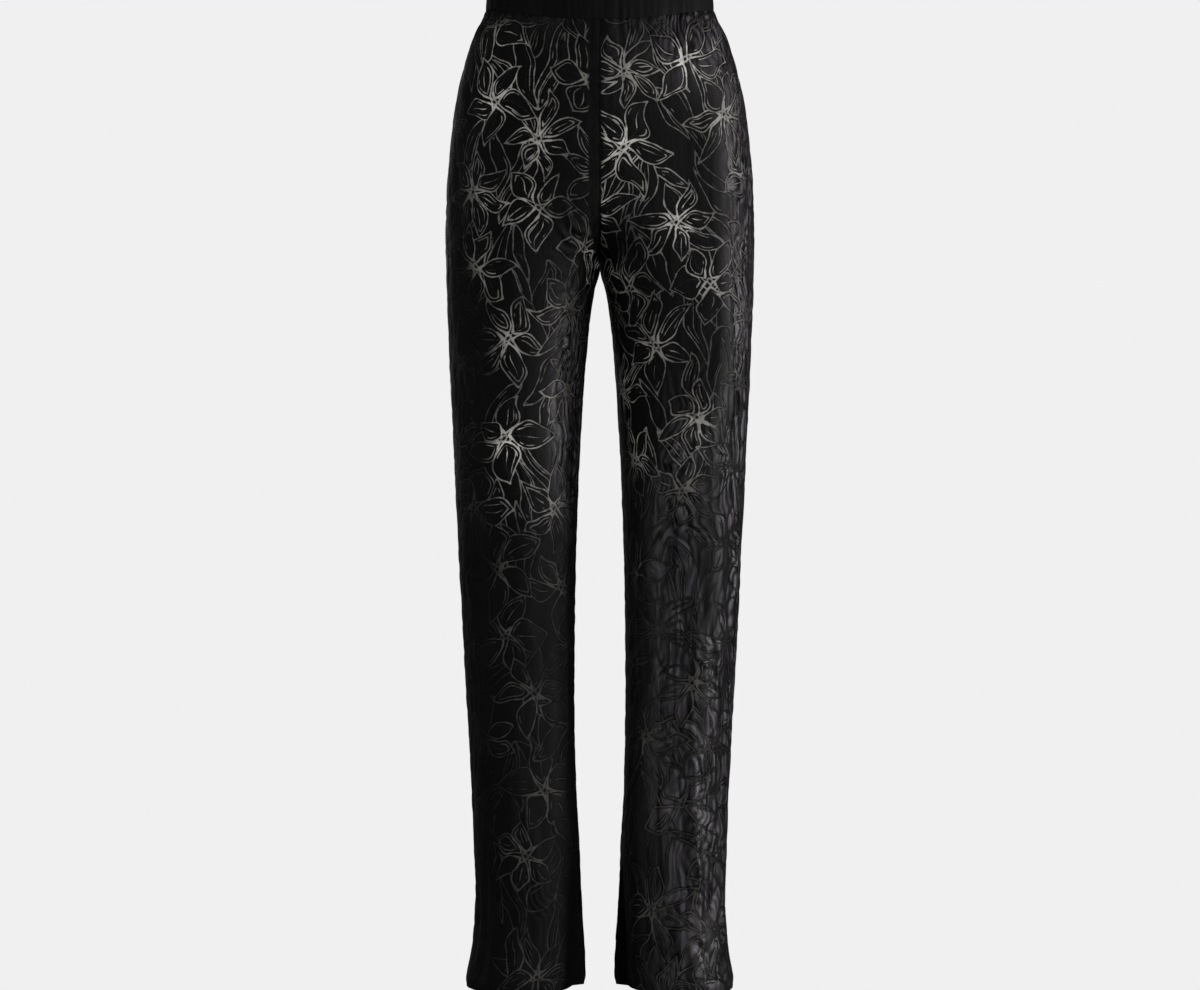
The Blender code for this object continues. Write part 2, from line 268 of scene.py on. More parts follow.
def row_drops(face):
    """The drop of each row of the cloth, closer together where the crotch curve runs nearly level."""
    above = np.linspace(-WAIST_TUCK, CROTCH_DROP - CROTCH_CURVE[face], ROWS_ABOVE + 1)
    up_curve = np.linspace(0, 1, ROWS_CURVE + 1) ** CURVE_PACKING
    down_curve = CROTCH_DROP - CROTCH_CURVE[face] * up_curve[::-1]
    below = np.linspace(CROTCH_DROP, HEM_DROP, ROWS_BELOW + 1)
    return np.concatenate([above, down_curve[1:], below[1:]])


def points_at(line, along, at):
    """Points of a line at these lengths along it."""
    return np.stack([np.interp(at, along, line[:, axis]) for axis in range(3)], axis=1)


def cut_panel(face):
    """The +X leg's panel: each point's place and outward direction, its x and y in the cloth in mm, how far
    it lies from the inner seam and the side seam in mm, and its drop."""
    drops = row_drops(face)
    places, x, inner, outer = [], [], [], []
    edge = np.array(EDGE_COLUMNS)
    for drop in drops:
        line = outline_half(drop, face)
        along = lengths_along(line)
        middle = np.linspace(edge[-1], along[-1] - edge[-1], COLUMNS + 3 - 2 * len(edge))
        at = np.concatenate([edge[:-1], middle, along[-1] - edge[-2::-1]])
        places.append(points_at(line, along, at))
        x.append(at - np.interp(CREASE_LINE, line[:, 0], along))
        inner.append(at)
        outer.append(along[-1] - at)
    places = np.array(places)
    out = np.cross(np.gradient(places, axis=0), np.gradient(places, axis=1)) * -FACES[face]
    out /= np.maximum(np.linalg.norm(out, axis=2, keepdims=True), 1e-9)
    return {
        "place": places,
        "out": out,
        "x": np.array(x) / MM,
        "y": -(places[..., 2] + BAND_HEIGHT / 2) / MM,
        "inner": np.array(inner) / MM,
        "outer": np.array(outer) / MM,
        "drop": np.repeat(drops[:, None], COLUMNS + 1, axis=1),
    }


# ----------------------------------------------------------------------------------------------------------
# The drape.  The satin hangs from the gathered waist and is drawn out of true at the crotch, the knees and
# the hem, so it lies in long soft ridges and troughs of uneven length, with fine ripples between them.
# ----------------------------------------------------------------------------------------------------------
FOLD_COLUMNS = ("leg", "face", "across_top", "across_bottom", "top", "bottom", "width", "depth")
FOLDS = (  # the largest: shares of the panel's width, drops, and sizes in metres
    ("right", "front", 0.10, 0.16, 0.24, 0.36, 0.034, -0.0035),
    ("right", "front", 0.22, 0.17, 0.44, 0.98, 0.030, 0.0030),
    ("right", "front", 0.60, 0.42, 0.50, 0.95, 0.042, -0.0030),
    ("right", "front", 0.80, 0.74, 0.90, 1.20, 0.040, -0.0045),
    ("right", "front", 0.36, 0.30, 0.93, 1.20, 0.036, 0.0040),
    ("left", "front", 0.12, 0.20, 0.24, 0.38, 0.036, -0.0035),
    ("left", "front", 0.66, 0.60, 0.52, 1.02, 0.036, 0.0045),
    ("left", "front", 0.52, 0.48, 0.56, 0.96, 0.030, -0.0035),
    ("left", "front", 0.84, 0.72, 0.88, 1.20, 0.044, 0.0050),
    ("left", "front", 0.34, 0.38, 0.92, 1.20, 0.040, -0.0040),
    ("right", "back", 0.16, 0.26, 0.26, 0.46, 0.044, -0.0050),
    ("right", "back", 0.50, 0.56, 0.40, 0.84, 0.044, 0.0040),
    ("right", "back", 0.32, 0.30, 0.60, 1.02, 0.038, -0.0040),
    ("right", "back", 0.70, 0.64, 0.88, 1.20, 0.044, 0.0050),
    ("left", "back", 0.18, 0.30, 0.26, 0.50, 0.042, -0.0050),
    ("left", "back", 0.58, 0.50, 0.44, 0.92, 0.046, 0.0045),
    ("left", "back", 0.28, 0.36, 0.66, 1.00, 0.036, -0.0035),
    ("left", "back", 0.66, 0.74, 0.90, 1.20, 0.042, -0.0045),
)
FOLD_END = 0.07
FOLD_SEAM_MARGIN = 22  # mm from a seam over which folds die out
CREASE_COLUMNS = ("leg", "face", "x_top", "y_top", "x_foot", "y_foot", "bend", "width", "depth")
CREASES = (  # mm in the cloth; bend is how far the middle of the crease stands off its straight line
    ("right", "front", -80, 264, -40, 226, 5, 8, 1.9),  # drawn towards the crotch
    ("right", "front", -80, 272, -32, 250, 4, 7, 2.0),
    ("right", "front", -82, 280, -26, 276, 3, 7, -1.9),
    ("right", "front", -82, 288, -30, 300, 4, 7, 2.0),
    ("right", "front", -82, 296, -38, 330, 5, 8, -1.9),
    ("right", "front", -80, 306, -50, 368, 5, 9, 2.0),
    ("right", "front", -74, 322, -60, 420, -4, 11, 1.7),
    ("right", "front", -56, 520, -52, 1000, 5, 12, 1.5),  # down the inner side of the shin
    ("right", "front", -30, 560, -20, 760, -6, 16, -1.1),
    ("right", "front", 12, 470, 40, 590, 8, 14, 1.0),
    ("right", "front", 44, 520, 26, 700, -7, 15, -1.2),
    ("right", "front", 60, 640, 52, 900, 6, 16, 1.3),
    ("right", "front", 24, 800, 34, 1085, -5, 14, -1.3),
    ("right", "front", -10, 850, -22, 1085, 5, 16, 1.2),
    ("right", "front", 66, 930, 78, 1085, 4, 14, 1.7),
    ("right", "front", 88, 60, 70, 220, 10, 18, 0.9),
    ("left", "front", -78, 266, -30, 246, 5, 9, 1.4),
    ("left", "front", -80, 280, -30, 284, -4, 10, -1.5),
    ("left", "front", -80, 294, -40, 328, 5, 10, 1.4),
    ("left", "front", -74, 312, -56, 400, -4, 12, -1.4),
    ("left", "front", 14, 590, 22, 1070, 4, 11, 2.0),  # the long ridges beside the shin
    ("left", "front", 30, 560, 38, 960, -6, 12, -1.6),
    ("left", "front", 46, 600, 52, 1010, 7, 12, 1.8),
    ("left", "front", 64, 300, 58, 560, -7, 14, 1.2),
    ("left", "front", 78, 180, 76, 430, 6, 13, -1.3),
    ("left", "front", 88, 400, 78, 760, -6, 12, 1.6),
    ("left", "front", 70, 690, 66, 930, 5, 12, -1.6),
    ("left", "front", -34, 470, 6, 520, 7, 11, 1.2),  # round the knee
    ("left", "front", 2, 500, 50, 474, -7, 11, 1.3),
    ("left", "front", 10, 560, 60, 522, 6, 12, -1.4),
    ("left", "front", -26, 560, 14, 612, 6, 12, 1.1),
    ("left", "front", 34, 1000, 84, 1085, 6, 13, 2.0),  # slanting to the flared hem
    ("left", "front", 14, 1010, 50, 1085, -5, 12, -1.7),
    ("left", "front", -24, 900, -34, 1085, 5, 15, 1.3),
    ("left", "front", -50, 640, -46, 960, -5, 14, 1.2),
    ("right", "back", -96, 300, -26, 352, 9, 14, 2.2),  # under the seat
    ("right", "back", -92, 322, -20, 392, 8, 15, -2.0),
    ("right", "back", -84, 350, -36, 446, 7, 14, 1.6),
    ("right", "back", 20, 560, -24, 606, 8, 14, 1.6),  # behind the knee
    ("right", "back", 34, 590, -30, 640, 9, 14, -1.7),
    ("right", "back", -12, 660, -20, 1060, 6, 15, 1.6),
    ("right", "back", 30, 700, 40, 1040, -6, 14, -1.5),
    ("right", "back", 64, 420, 66, 900, 6, 15, 1.5),
    ("right", "back", 50, 930, 74, 1085, 5, 14, 1.9),
    ("left", "back", -96, 306, -30, 344, 8, 14, 2.0),
    ("left", "back", -92, 330, -24, 404, 9, 15, -2.1),
    ("left", "back", -80, 356, -44, 470, 6, 14, 1.5),
    ("left", "back", -34, 574, 26, 606, 8, 14, 1.5),
    ("left", "back", -26, 612, 36, 636, -8, 14, -1.8),
    ("left", "back", -22, 690, -14, 1040, -6, 15, -1.5),
    ("left", "back", 22, 660, 18, 1070, 6, 14, 1.8),
    ("left", "back", 62, 380, 70, 820, -7, 15, 1.4),
    ("left", "back", 56, 940, 36, 1085, 5, 14, -1.8),
)
CREASE_END_SHARE = 0.32  # of its length, over which a crease rises from the flat cloth
CREASE_MARGIN = 7  # mm from a seam over which creases die out
CREASE_TROUGH = 0.38  # depth of the hollow on either side of a ridge, as a share of its height
TROUGH_SPREAD = 6  # how much flatter the hollow's curve is than the ridge's
CREASE_WANDER = 2.6  # half waves of its bend along a crease
CREASE_PACKING = 0.8  # below 1, they lie closer together near its top
RIPPLE_COLUMNS = ("across", "down", "lean", "height", "shift")
RIPPLES = (  # mm: the waves' length across and down the leg, how far they lean, and their height
    (47, 520, 0.10, 0.36, 0.4),
    (29, 330, -0.08, 0.26, 2.1),
    (19, 240, 0.14, 0.27, 4.0),
    (13, 130, -0.11, 0.20, 1.2),
)
RIPPLE_START = 0.10  # drop from which the ripples grow, and over how much they do
RIPPLE_GROWTH = 0.2
RIPPLE_WANDER = {"push": 6, "down": 83}  # mm: how far a wave strays and the length over which it does so
RIPPLE_JITTER = {"push": 3.5, "down": 29, "across": 37}
RIPPLE_SKEW = 90  # mm across for each radian of shift down the leg
RIPPLE_LEAST = 0.55  # their height at the middle of the leg, as a share of that at the side
RIPPLE_SIDE = 70  # mm from the middle
TURN = 2 * math.pi
GATHERS = 60
GATHER_START = math.pi / 4
GATHER_EVENNESS = 0.55
GATHER_SWELLS = {"waves": 7, "shift": 0.5, "lulls": 4}
GATHER_DRIFTS = ((11, 1.5, 0.3), (19, 0.9, 1.9))  # waves round the waist, radians of drift, shift
GATHER_RIPPLE = 1.3  # mm, at the waist seam
GATHER_FADE = 30  # mm down from it
SEAM_TURN = 1.1  # mm that the cloth sinks where it turns into a seam
SEAM_TURN_WIDTH = 2.4
WAIST_TURN = 1.7  # mm that it sinks under the waistband
HEM_TURN = 2.4  # mm that the hem curls in
HEM_TURN_WIDTH = 6.0


def gather_wave(turn):
    """The gathers' wave at a share of a turn round the waist, from the centre back by the wearer's left."""
    angle = turn * TURN
    swell = np.sin(GATHER_SWELLS["waves"] * angle + GATHER_SWELLS["shift"])
    swell = swell * np.cos(GATHER_SWELLS["lulls"] * angle)
    drift = sum(by * np.sin(waves * angle + shift) for waves, by, shift in GATHER_DRIFTS)
    return np.sin(GATHERS * angle + GATHER_START + drift) * (GATHER_EVENNESS + (1 - GATHER_EVENNESS) * swell)


def rows_for(columns, table, leg, face):
    """The table's rows for one panel, by their columns' names.  A row with no face is for both faces."""
    rows = [dict(zip(columns, row)) for row in table]
    return [row for row in rows if (row["leg"], row.get("face", face)) == (leg, face)]


def from_seam(cloth):
    return np.minimum(cloth["inner"], cloth["outer"])


def fold_lift(cloth, leg, face):
    width = cloth["inner"] + cloth["outer"]
    from_seams = ease(from_seam(cloth) / FOLD_SEAM_MARGIN)
    lift = np.zeros(width.shape)
    for fold in rows_for(FOLD_COLUMNS, FOLDS, leg, face):
        below_top, above_foot = cloth["drop"] - fold["top"], fold["bottom"] - cloth["drop"]
        down = below_top / (fold["bottom"] - fold["top"])
        middle = fold["across_top"] + (fold["across_bottom"] - fold["across_top"]) * down
        ends = ease(below_top / FOLD_END) * ease(above_foot / FOLD_END)
        away = (cloth["inner"] - middle * width) * MM / (fold["width"] / 2)
        lift += fold["depth"] / MM * ends * np.exp(-away * away)
    return lift * from_seams


def crease_lift(cloth, leg, face):
    from_seams = ease(from_seam(cloth) / CREASE_MARGIN)
    lift = np.zeros(from_seams.shape)
    for crease in rows_for(CREASE_COLUMNS, CREASES, leg, face):
        run_x = crease["x_foot"] - crease["x_top"]
        run_y = crease["y_foot"] - crease["y_top"]
        length = math.hypot(run_x, run_y)
        from_x = cloth["x"] - crease["x_top"]
        from_y = cloth["y"] - crease["y_top"]
        share = (from_x * run_x + from_y * run_y) / length**2
        aside = (from_x * run_y - from_y * run_x) / length
        wander = CREASE_WANDER * math.pi * np.clip(share, 0, 1) ** CREASE_PACKING
        aside = aside - crease["bend"] * np.sin(wander)
        ends = ease(share / CREASE_END_SHARE) * ease((1 - share) / CREASE_END_SHARE)
        away = aside / (crease["width"] / 2)
        ridge = np.exp(-away * away) - CREASE_TROUGH * np.exp(-away * away / TROUGH_SPREAD)
        lift += crease["depth"] / (1 - CREASE_TROUGH) * ends * ridge
    return lift * from_seams


def ripple_lift(cloth, leg, face):
    from_seams = ease(from_seam(cloth) / CREASE_MARGIN)
    start = {"right": 0.0, "left": 1.7}[leg] + {"front": 0.0, "back": 2.9}[face]
    lift = np.zeros(from_seams.shape)
    for row in RIPPLES:
        ripple = dict(zip(RIPPLE_COLUMNS, row))
        shift = ripple["shift"]
        wander = RIPPLE_WANDER["push"] * np.sin(cloth["y"] / RIPPLE_WANDER["down"] + shift)
        x = cloth["x"] + ripple["lean"] * cloth["y"] + wander
        jitter = cloth["y"] / RIPPLE_JITTER["down"] + cloth["x"] / RIPPLE_JITTER["across"] + 2 * shift
        x = x + RIPPLE_JITTER["push"] * np.sin(jitter)
        wave = np.sin(TURN * x / ripple["across"] + shift + start)
        wave = wave * np.sin(TURN * cloth["y"] / ripple["down"] + 2 * shift + start + x / RIPPLE_SKEW)
        lift += ripple["height"] * wave
    outside = RIPPLE_LEAST + (1 - RIPPLE_LEAST) * ease(cloth["x"] / RIPPLE_SIDE)
    return lift * outside * ease((cloth["drop"] - RIPPLE_START) / RIPPLE_GROWTH) * from_seams


def gather_lift(cloth, turns):
    """The tops of the folds that the elastic gathers, dying out down the cloth."""
    down = cloth["drop"] / MM
    return GATHER_RIPPLE * gather_wave(turns) * np.exp(-down / GATHER_FADE)


def seam_lift(cloth):
    hem = (HEM_DROP - cloth["drop"]) / MM / HEM_TURN_WIDTH
    waist = (cloth["drop"] + WAIST_TUCK) / MM / SEAM_TURN_WIDTH
    turned = SEAM_TURN * np.exp(-((from_seam(cloth) / SEAM_TURN_WIDTH) ** 2))
    return -(turned + HEM_TURN * np.exp(-hem * hem) + WAIST_TURN * np.exp(-waist * waist))


# ----------------------------------------------------------------------------------------------------------
# The drawing.  The cloth is woven with a satin pile on a sheer ground, and the pile is burnt away along the
# lines of a drawing: open flowers of five to seven pointed petals with veins, sprays of long curved leaves,
# and single leaves between.  Each petal or leaf is a blade that knows how far a point is from its lines.
# ----------------------------------------------------------------------------------------------------------
FAR = 40.0  # mm, where nothing is drawn
PLAIN_INK = 0.6
UNDRAWN = (FAR, FAR, FAR, PLAIN_INK)
LAYERS = ("leaf_under", "leaf_over", "petal_under", "petal_over")  # the later ones hide the earlier
SEEDS = {("right", "front"): 11, ("left", "front"): 23, ("right", "back"): 37, ("left", "back"): 41}
FLOWER_SPACING = 68
FLOWER_TRIES = 3000
PETALS = (  # how slowly a blade widens from root and narrows to tip, and its share of the usual breadth
    {"root": 1.20, "tip": 1.35, "full": 1.0},
    {"root": 1.30, "tip": 1.60, "full": 1.0},
    {"root": 1.10, "tip": 1.25, "full": 0.85},
    {"root": 1.50, "tip": 1.45, "full": 1.05},
)
PETAL_LENGTH = 47
PETAL_GIRTH = 68  # mm, the half widths of a flower's petals added up
PETAL_START = 4.0  # mm from the flower's middle
LEAF = {"root": 0.95, "tip": 1.15}
SPRAY_SPACING = 64
SPRAY_TRIES = 1500
SPRAY_CLEAR = 24  # mm from a flower's middle
FILLER_TRIES = 700
CLASH = 0.3  # mm that two blades of one layer keep apart
SHRINKS = (1, 0.82, 0.66)  # the sizes at which a blade is tried
SHRINK_BREADTH = 0.6  # a smaller blade stays broader for its length, by this power
BLADE_REACH = 12  # mm past its length within which points are told how far they lie from a blade
BLADE_END = 0.0005  # share of its length, kept from its very ends
FAR_SIDE = 1.9  # radians by which the waves of its far side lag behind the near one's
STEEPEST = 3  # of an outline, beyond which its distance isn't corrected for its slope
LINE_TAPERS = (10, 5)  # how abruptly a rib or side line starts and ends, for each share of the blade
LINE_THINNEST = 0.02
CLEARING = 8.0  # mm of bare cloth that a filling leaf needs about its middle
DRAWING_SWAYS = ((2.9, 9.2, 0.4), (0.4, 3.6, 1.7))  # mm of push, mm a radian, shift: they make all lines flow


def line_taper(share, start, end):
    """1 along a rib or side line, less towards its ends, where it thins out."""
    tapers = np.minimum((share - start) * LINE_TAPERS[0], (end - share) * LINE_TAPERS[1])
    return np.clip(tapers, LINE_THINNEST, 1)


def blade(x, y, cut):
    """How far points lie from a blade's outline (below 0 inside it), its midrib and its side line, in mm, and
    how pale its lines are."""
    along, across = math.cos(cut["heading"]), math.sin(cut["heading"])
    from_x, from_y = x - cut["foot"][0], y - cut["foot"][1]
    forwards = from_x * along + from_y * across
    share = np.clip(forwards / cut["length"], BLADE_END, 1 - BLADE_END)
    beyond = forwards - np.clip(forwards, 0, cut["length"])
    curve = cut["bend"] * share**2 + cut["sway"] * np.sin(TURN * share)
    slope = 2 * cut["bend"] * share + TURN * cut["sway"] * np.cos(TURN * share)
    aside = from_y * along - from_x * across - cut["length"] * curve
    root, tip = cut["form"]["root"], cut["form"]["tip"]
    peak = root / (root + tip)
    half = cut["breadth"] * share**root * (1 - share) ** tip / (peak**root * (1 - peak) ** tip)
    steepness = half / cut["length"] * (root / share - tip / (1 - share))
    waves = np.sin(TURN * (cut["waves"] * share + cut["shift"]) + FAR_SIDE * (aside > 0))
    half = half * (1 + cut["ruffle"] * waves)
    lean = 1 / np.sqrt(1 + slope**2)
    edge = (np.abs(aside) - half) * lean / np.sqrt(1 + np.clip(steepness, -STEEPEST, STEEPEST) ** 2)
    edge = np.where(beyond != 0, np.hypot(aside, beyond), edge)
    rib = (aside - cut["rib_aside"] * half * share) * lean
    rib = rib / line_taper(share, cut["rib_start"], cut["rib_end"])
    line = (aside * cut["line_side"] - half * cut["line_at"]) * lean
    line = line / line_taper(share, cut["line_start"], cut["line_end"])
    ink = np.full(edge.shape, cut["ink"])
    return np.stack([edge, np.clip(rib, -FAR, FAR), np.clip(line, -FAR, FAR), ink], axis=-1)


def lay_blade(drawing, layers, cut):
    """Adds a blade to the first layer that has room for it, made smaller if it must be."""
    for shrink in SHRINKS:
        breadth = cut["breadth"] * shrink**SHRINK_BREADTH
        smaller = {**cut, "length": cut["length"] * shrink, "breadth": breadth}
        reach = smaller["length"] + BLADE_REACH
        x, y = drawing["x"], drawing["y"]
        near = np.nonzero((np.abs(x - cut["foot"][0]) < reach) & (np.abs(y - cut["foot"][1]) < reach))
        if not len(near[0]):
            return
        new = blade(x[near], y[near], smaller)
        for layer in layers:
            old = drawing[layer][near]
            if np.any((new[:, 0] < CLASH) & (old[:, 0] < CLASH)):
                continue
            closer = new[:, 0] < old[:, 0]
            old[closer] = new[closer]
            drawing[layer][near] = old
            return


def scattered(rng, x, y, apart, tries, keep_off=(), off_by=0):
    """Points at random over the panel, no two nearer than they may be."""
    low, high = (x.min() - 10, y.min() - 10), (x.max() + 10, y.max() + 10)
    chosen = []
    for point in rng.uniform(low, high, (tries, 2)):
        if all(math.dist(point, other) > apart for other in chosen):
            if all(math.dist(point, other) > off_by for other in keep_off):
                chosen.append(point)
    return chosen


def line_habit(rng, lined):
    """How wavy a blade's outline is, and how far its midrib and its side line run, if it has them."""
    return {
        "waves": rng.uniform(0.8, 1.9),
        "shift": rng.uniform(0, 1),
        "ruffle": rng.uniform(0.03, 0.13),
        "rib_start": rng.uniform(0.16, 0.34),
        "rib_end": rng.choice([0.0, rng.uniform(0.6, 0.95)], p=[0.35, 0.65]),
        "rib_aside": rng.uniform(-0.3, 0.3),
        "line_start": rng.uniform(0.14, 0.3),
        "line_end": rng.choice([0.0, rng.uniform(0.55, 0.9)], p=[1 - lined, lined]),
        "line_side": rng.choice([-1, 1]),
        "line_at": rng.uniform(0.5, 0.68),
    }


def draw_flower(rng, drawing, centre):
    count = int(rng.integers(5, 8))
    size = rng.uniform(0.86, 1.16)
    start = rng.uniform(0, TURN)
    flower_ink = rng.uniform(0.6, 1.0)
    flower_bend = rng.uniform(-0.22, 0.22)
    for i in range(count):
        heading = start + TURN * (i + rng.uniform(-0.15, 0.15)) / count
        form = PETALS[int(rng.integers(0, len(PETALS)))]
        cut = {
            "foot": centre + PETAL_START * np.array([math.cos(heading), math.sin(heading)]),
            "heading": heading,
            "length": PETAL_LENGTH * size * rng.uniform(0.82, 1.18),
            "breadth": PETAL_GIRTH * size / count * form["full"] * rng.uniform(0.86, 1.14),
            "bend": flower_bend + rng.uniform(-0.18, 0.18),
            "sway": rng.uniform(-0.055, 0.055),
            "form": form,
            "ink": flower_ink * rng.uniform(0.7, 1.0),
            **line_habit(rng, 0.4),
        }
        layers = ("petal_over", "petal_under") if i % 2 == 0 else ("petal_under", "petal_over")
        lay_blade(drawing, layers, cut)
    across, down = drawing["x"] - centre[0], drawing["y"] - centre[1]
    away = np.hypot(across, down)
    turned_across = across * math.cos(start) + down * math.sin(start)
    turned_down = down * math.cos(start) - across * math.sin(start)
    nearer = away < drawing["heart"][..., 2]
    drawing["heart"][nearer] = np.stack([turned_across, turned_down, away], axis=-1)[nearer]


def draw_spray(rng, drawing, foot):
    """Leaves that fan up or down from one stalk."""
    count = int(rng.integers(3, 6))
    middle = math.pi / 2 * rng.choice([-1, 1]) + rng.uniform(-0.6, 0.6)
    spray_ink = rng.uniform(0.4, 0.85)
    for i in range(count):
        fan = (i - (count - 1) / 2) / (count - 1) * 2
        cut = {
            "foot": foot,
            "heading": middle + fan * rng.uniform(0.42, 0.62),
            "length": rng.uniform(85, 135) * (1 - 0.22 * abs(fan)),
            "breadth": rng.uniform(8, 12.5),
            "bend": -0.24 * fan,
            "sway": rng.uniform(-0.05, 0.05),
            "form": LEAF,
            "ink": spray_ink * rng.uniform(0.7, 1.0),
            **line_habit(rng, 0.5),
        }
        layers = ("leaf_over", "leaf_under") if i % 2 == 0 else ("leaf_under", "leaf_over")
        lay_blade(drawing, layers, cut)


def draw_single_leaf(rng, drawing, middle):
    heading = math.pi / 2 + rng.uniform(-0.9, 0.9) + math.pi * int(rng.integers(0, 2))
    length = rng.uniform(46, 95)
    cut = {
        "foot": middle - 0.45 * length * np.array([math.cos(heading), math.sin(heading)]),
        "heading": heading,
        "length": length,
        "breadth": rng.uniform(6, 9.5),
        "bend": rng.uniform(-0.3, 0.3),
        "sway": rng.uniform(-0.05, 0.05),
        "form": LEAF,
        "ink": rng.uniform(0.35, 0.8),
        **line_habit(rng, 0.3),
    }
    lay_blade(drawing, ("leaf_over", "leaf_under"), cut)


def draw(cloth, leg, face):
    """The whole drawing on one panel: for each layer the distances to its lines, and the flowers' hearts."""
    rng = np.random.default_rng(SEEDS[leg, face])
    x, y = cloth["x"], cloth["y"]
    for push, length, shift in DRAWING_SWAYS:
        x, y = x + push * np.sin(y / length + shift), y + push * np.sin(x / length + 2 * shift)
    drawing = {"x": x, "y": y, "heart": np.full(x.shape + (3,), 2 * FAR)}
    drawing.update({layer: np.broadcast_to(UNDRAWN, x.shape + (4,)).copy() for layer in LAYERS})
    flowers = scattered(rng, x, y, FLOWER_SPACING, FLOWER_TRIES)
    for centre in flowers:
        draw_flower(rng, drawing, centre)
    for foot in scattered(rng, x, y, SPRAY_SPACING, SPRAY_TRIES, flowers, SPRAY_CLEAR):
        draw_spray(rng, drawing, foot)
    for _ in range(FILLER_TRIES):
        row, column = int(rng.integers(0, x.shape[0])), int(rng.integers(0, x.shape[1]))
        if min(drawing[layer][row, column, 0] for layer in LAYERS) > CLEARING:
            draw_single_leaf(rng, drawing, np.array([x[row, column], y[row, column]]))
    return drawing


# Where the drawing is pale: the lines are sheer, and painted light makes them look lit from behind, pale over
# the hips and thighs and dim elsewhere.
PALE_TOP = (8, 58)  # mm below the waist seam, from dim to pale
PALE_FOOT = {"right": (480, 610), "left": (455, 560)}  # mm down, from pale to dim
PALE_LOW = {"right": 0.10, "left": 0.12}  # how pale it is from there down
PALE_NARROWS = {"right": (265, 350), "left": (390, 480)}  # mm down, from the hips' values to the knee's
PALE_SIDE = {  # mm out from the middle of the leg, from pale to dim, at the hips and at the knee: painted shade at the sides
    "right": ((40, 84), (14, 46)),
    "left": ((58, 104), (20, 54)),
}
PALE_INNER = {  # mm from the inseam, from dim to pale: the painted light fades towards the inseam
    "right": ((4, 34), (44, 70)),
    "left": ((24, 100), (36, 74)),
}
PALE_EDGE = 0.06
PALE_CROTCH = 60  # mm above the crotch's level, from which the painted light starts to fade towards the inseam
CENTRE_BAND = 12  # mm of plain cloth beside the centre front, over the seam's turned edge
CENTRE_BAND_FADE = 4
PATCHES = ((61, 0.8, 0.0), (37, 0.6, 1.3), (101, 0.7, 2.2))  # mm, weight, shift: some flowers are paler
PATCH_TURNS = {"across": 2.1, "down": 1.7, "swirl": 1.3}
PATCH_MEAN = 0.76
PATCH_SWING = 0.34
PATCH_RANGE = (0.30, 1.0)
DIM_COLUMNS = ("leg", "x", "y", "half_width", "half_length", "share")
DIM_SPOTS = (  # mm in the cloth: where the cloth turns from the light and its lines nearly vanish
    ("right", -62, 205, 42, 105, 0.80),
    ("right", 70, 330, 34, 120, 0.60),
    ("left", -58, 300, 40, 120, 0.80),
    ("left", -10, 480, 30, 70, 0.40),
    ("left", 46, 360, 34, 120, 0.60),
    ("right", -20, 230, 60, 40, 0.35),
    ("right", -62, 410, 28, 120, 0.92),
    ("right", -70, 318, 30, 56, 0.80),
    ("left", 0, 640, 60, 110, 0.60),
    ("right", 40, 34, 40, 36, 0.45),
)


def spots_on(cloth, columns, table, leg, face):
    """Each of the table's spots on this panel: its share at its middle, dying out around it."""
    for spot in rows_for(columns, table, leg, face):
        across = (cloth["x"] - spot["x"]) / spot["half_width"]
        down = (cloth["y"] - spot["y"]) / spot["half_length"]
        yield spot["share"] * np.exp(-(across**2 + down**2))


# Painted light: how pale the sheer lines are painted and how much they glow, with painted shade at the sides,
# and dim towards the inseams, the waist and the shins.
def painted_line_light(cloth, leg, face):
    x, y = cloth["x"], cloth["y"]
    down = ease((y - PALE_TOP[0]) / (PALE_TOP[1] - PALE_TOP[0]))
    foot = PALE_FOOT[leg]
    down = down * (1 - (1 - PALE_LOW[leg]) * ease((y - foot[0]) / (foot[1] - foot[0])))
    narrow = ease((y - PALE_NARROWS[leg][0]) / (PALE_NARROWS[leg][1] - PALE_NARROWS[leg][0]))
    start, end = (hips + (knee - hips) * narrow for hips, knee in zip(*PALE_SIDE[leg]))
    side = 1 - (1 - PALE_EDGE) * ease((x - start) / (end - start))
    start, end = (hips + (knee - hips) * narrow for hips, knee in zip(*PALE_INNER[leg]))
    inner = ease((cloth["inner"] - start) / (end - start))
    below_crotch = ease((y - CROTCH_DROP / MM) / PALE_CROTCH + 1)
    inner = 1 - below_crotch * (1 - PALE_EDGE) * (1 - inner)
    patches = 0
    for size, weight, shift in PATCHES:
        swirl = PATCH_TURNS["swirl"] * np.sin(y / size)
        wave = np.sin(x / size * PATCH_TURNS["across"] + shift + swirl)
        patches = patches + weight * wave * np.sin(y / size * PATCH_TURNS["down"] + 2 * shift)
    pale = down * side * inner * np.clip(PATCH_MEAN + PATCH_SWING * patches, *PATCH_RANGE)
    for spot in spots_on(cloth, DIM_COLUMNS, DIM_SPOTS, leg, face):
        pale = pale * (1 - spot)
    return pale * plain_band(cloth, leg, face)


def plain_band(cloth, leg, face):
    """0 on the plain band beside the centre front and 1 elsewhere."""
    if (leg, face) != ("right", "front"):
        return np.ones(cloth["x"].shape)
    beside = ease((cloth["inner"] - CENTRE_BAND + CENTRE_BAND_FADE / 2) / CENTRE_BAND_FADE)
    return np.where(cloth["y"] < CROTCH_DROP / MM, beside, 1)
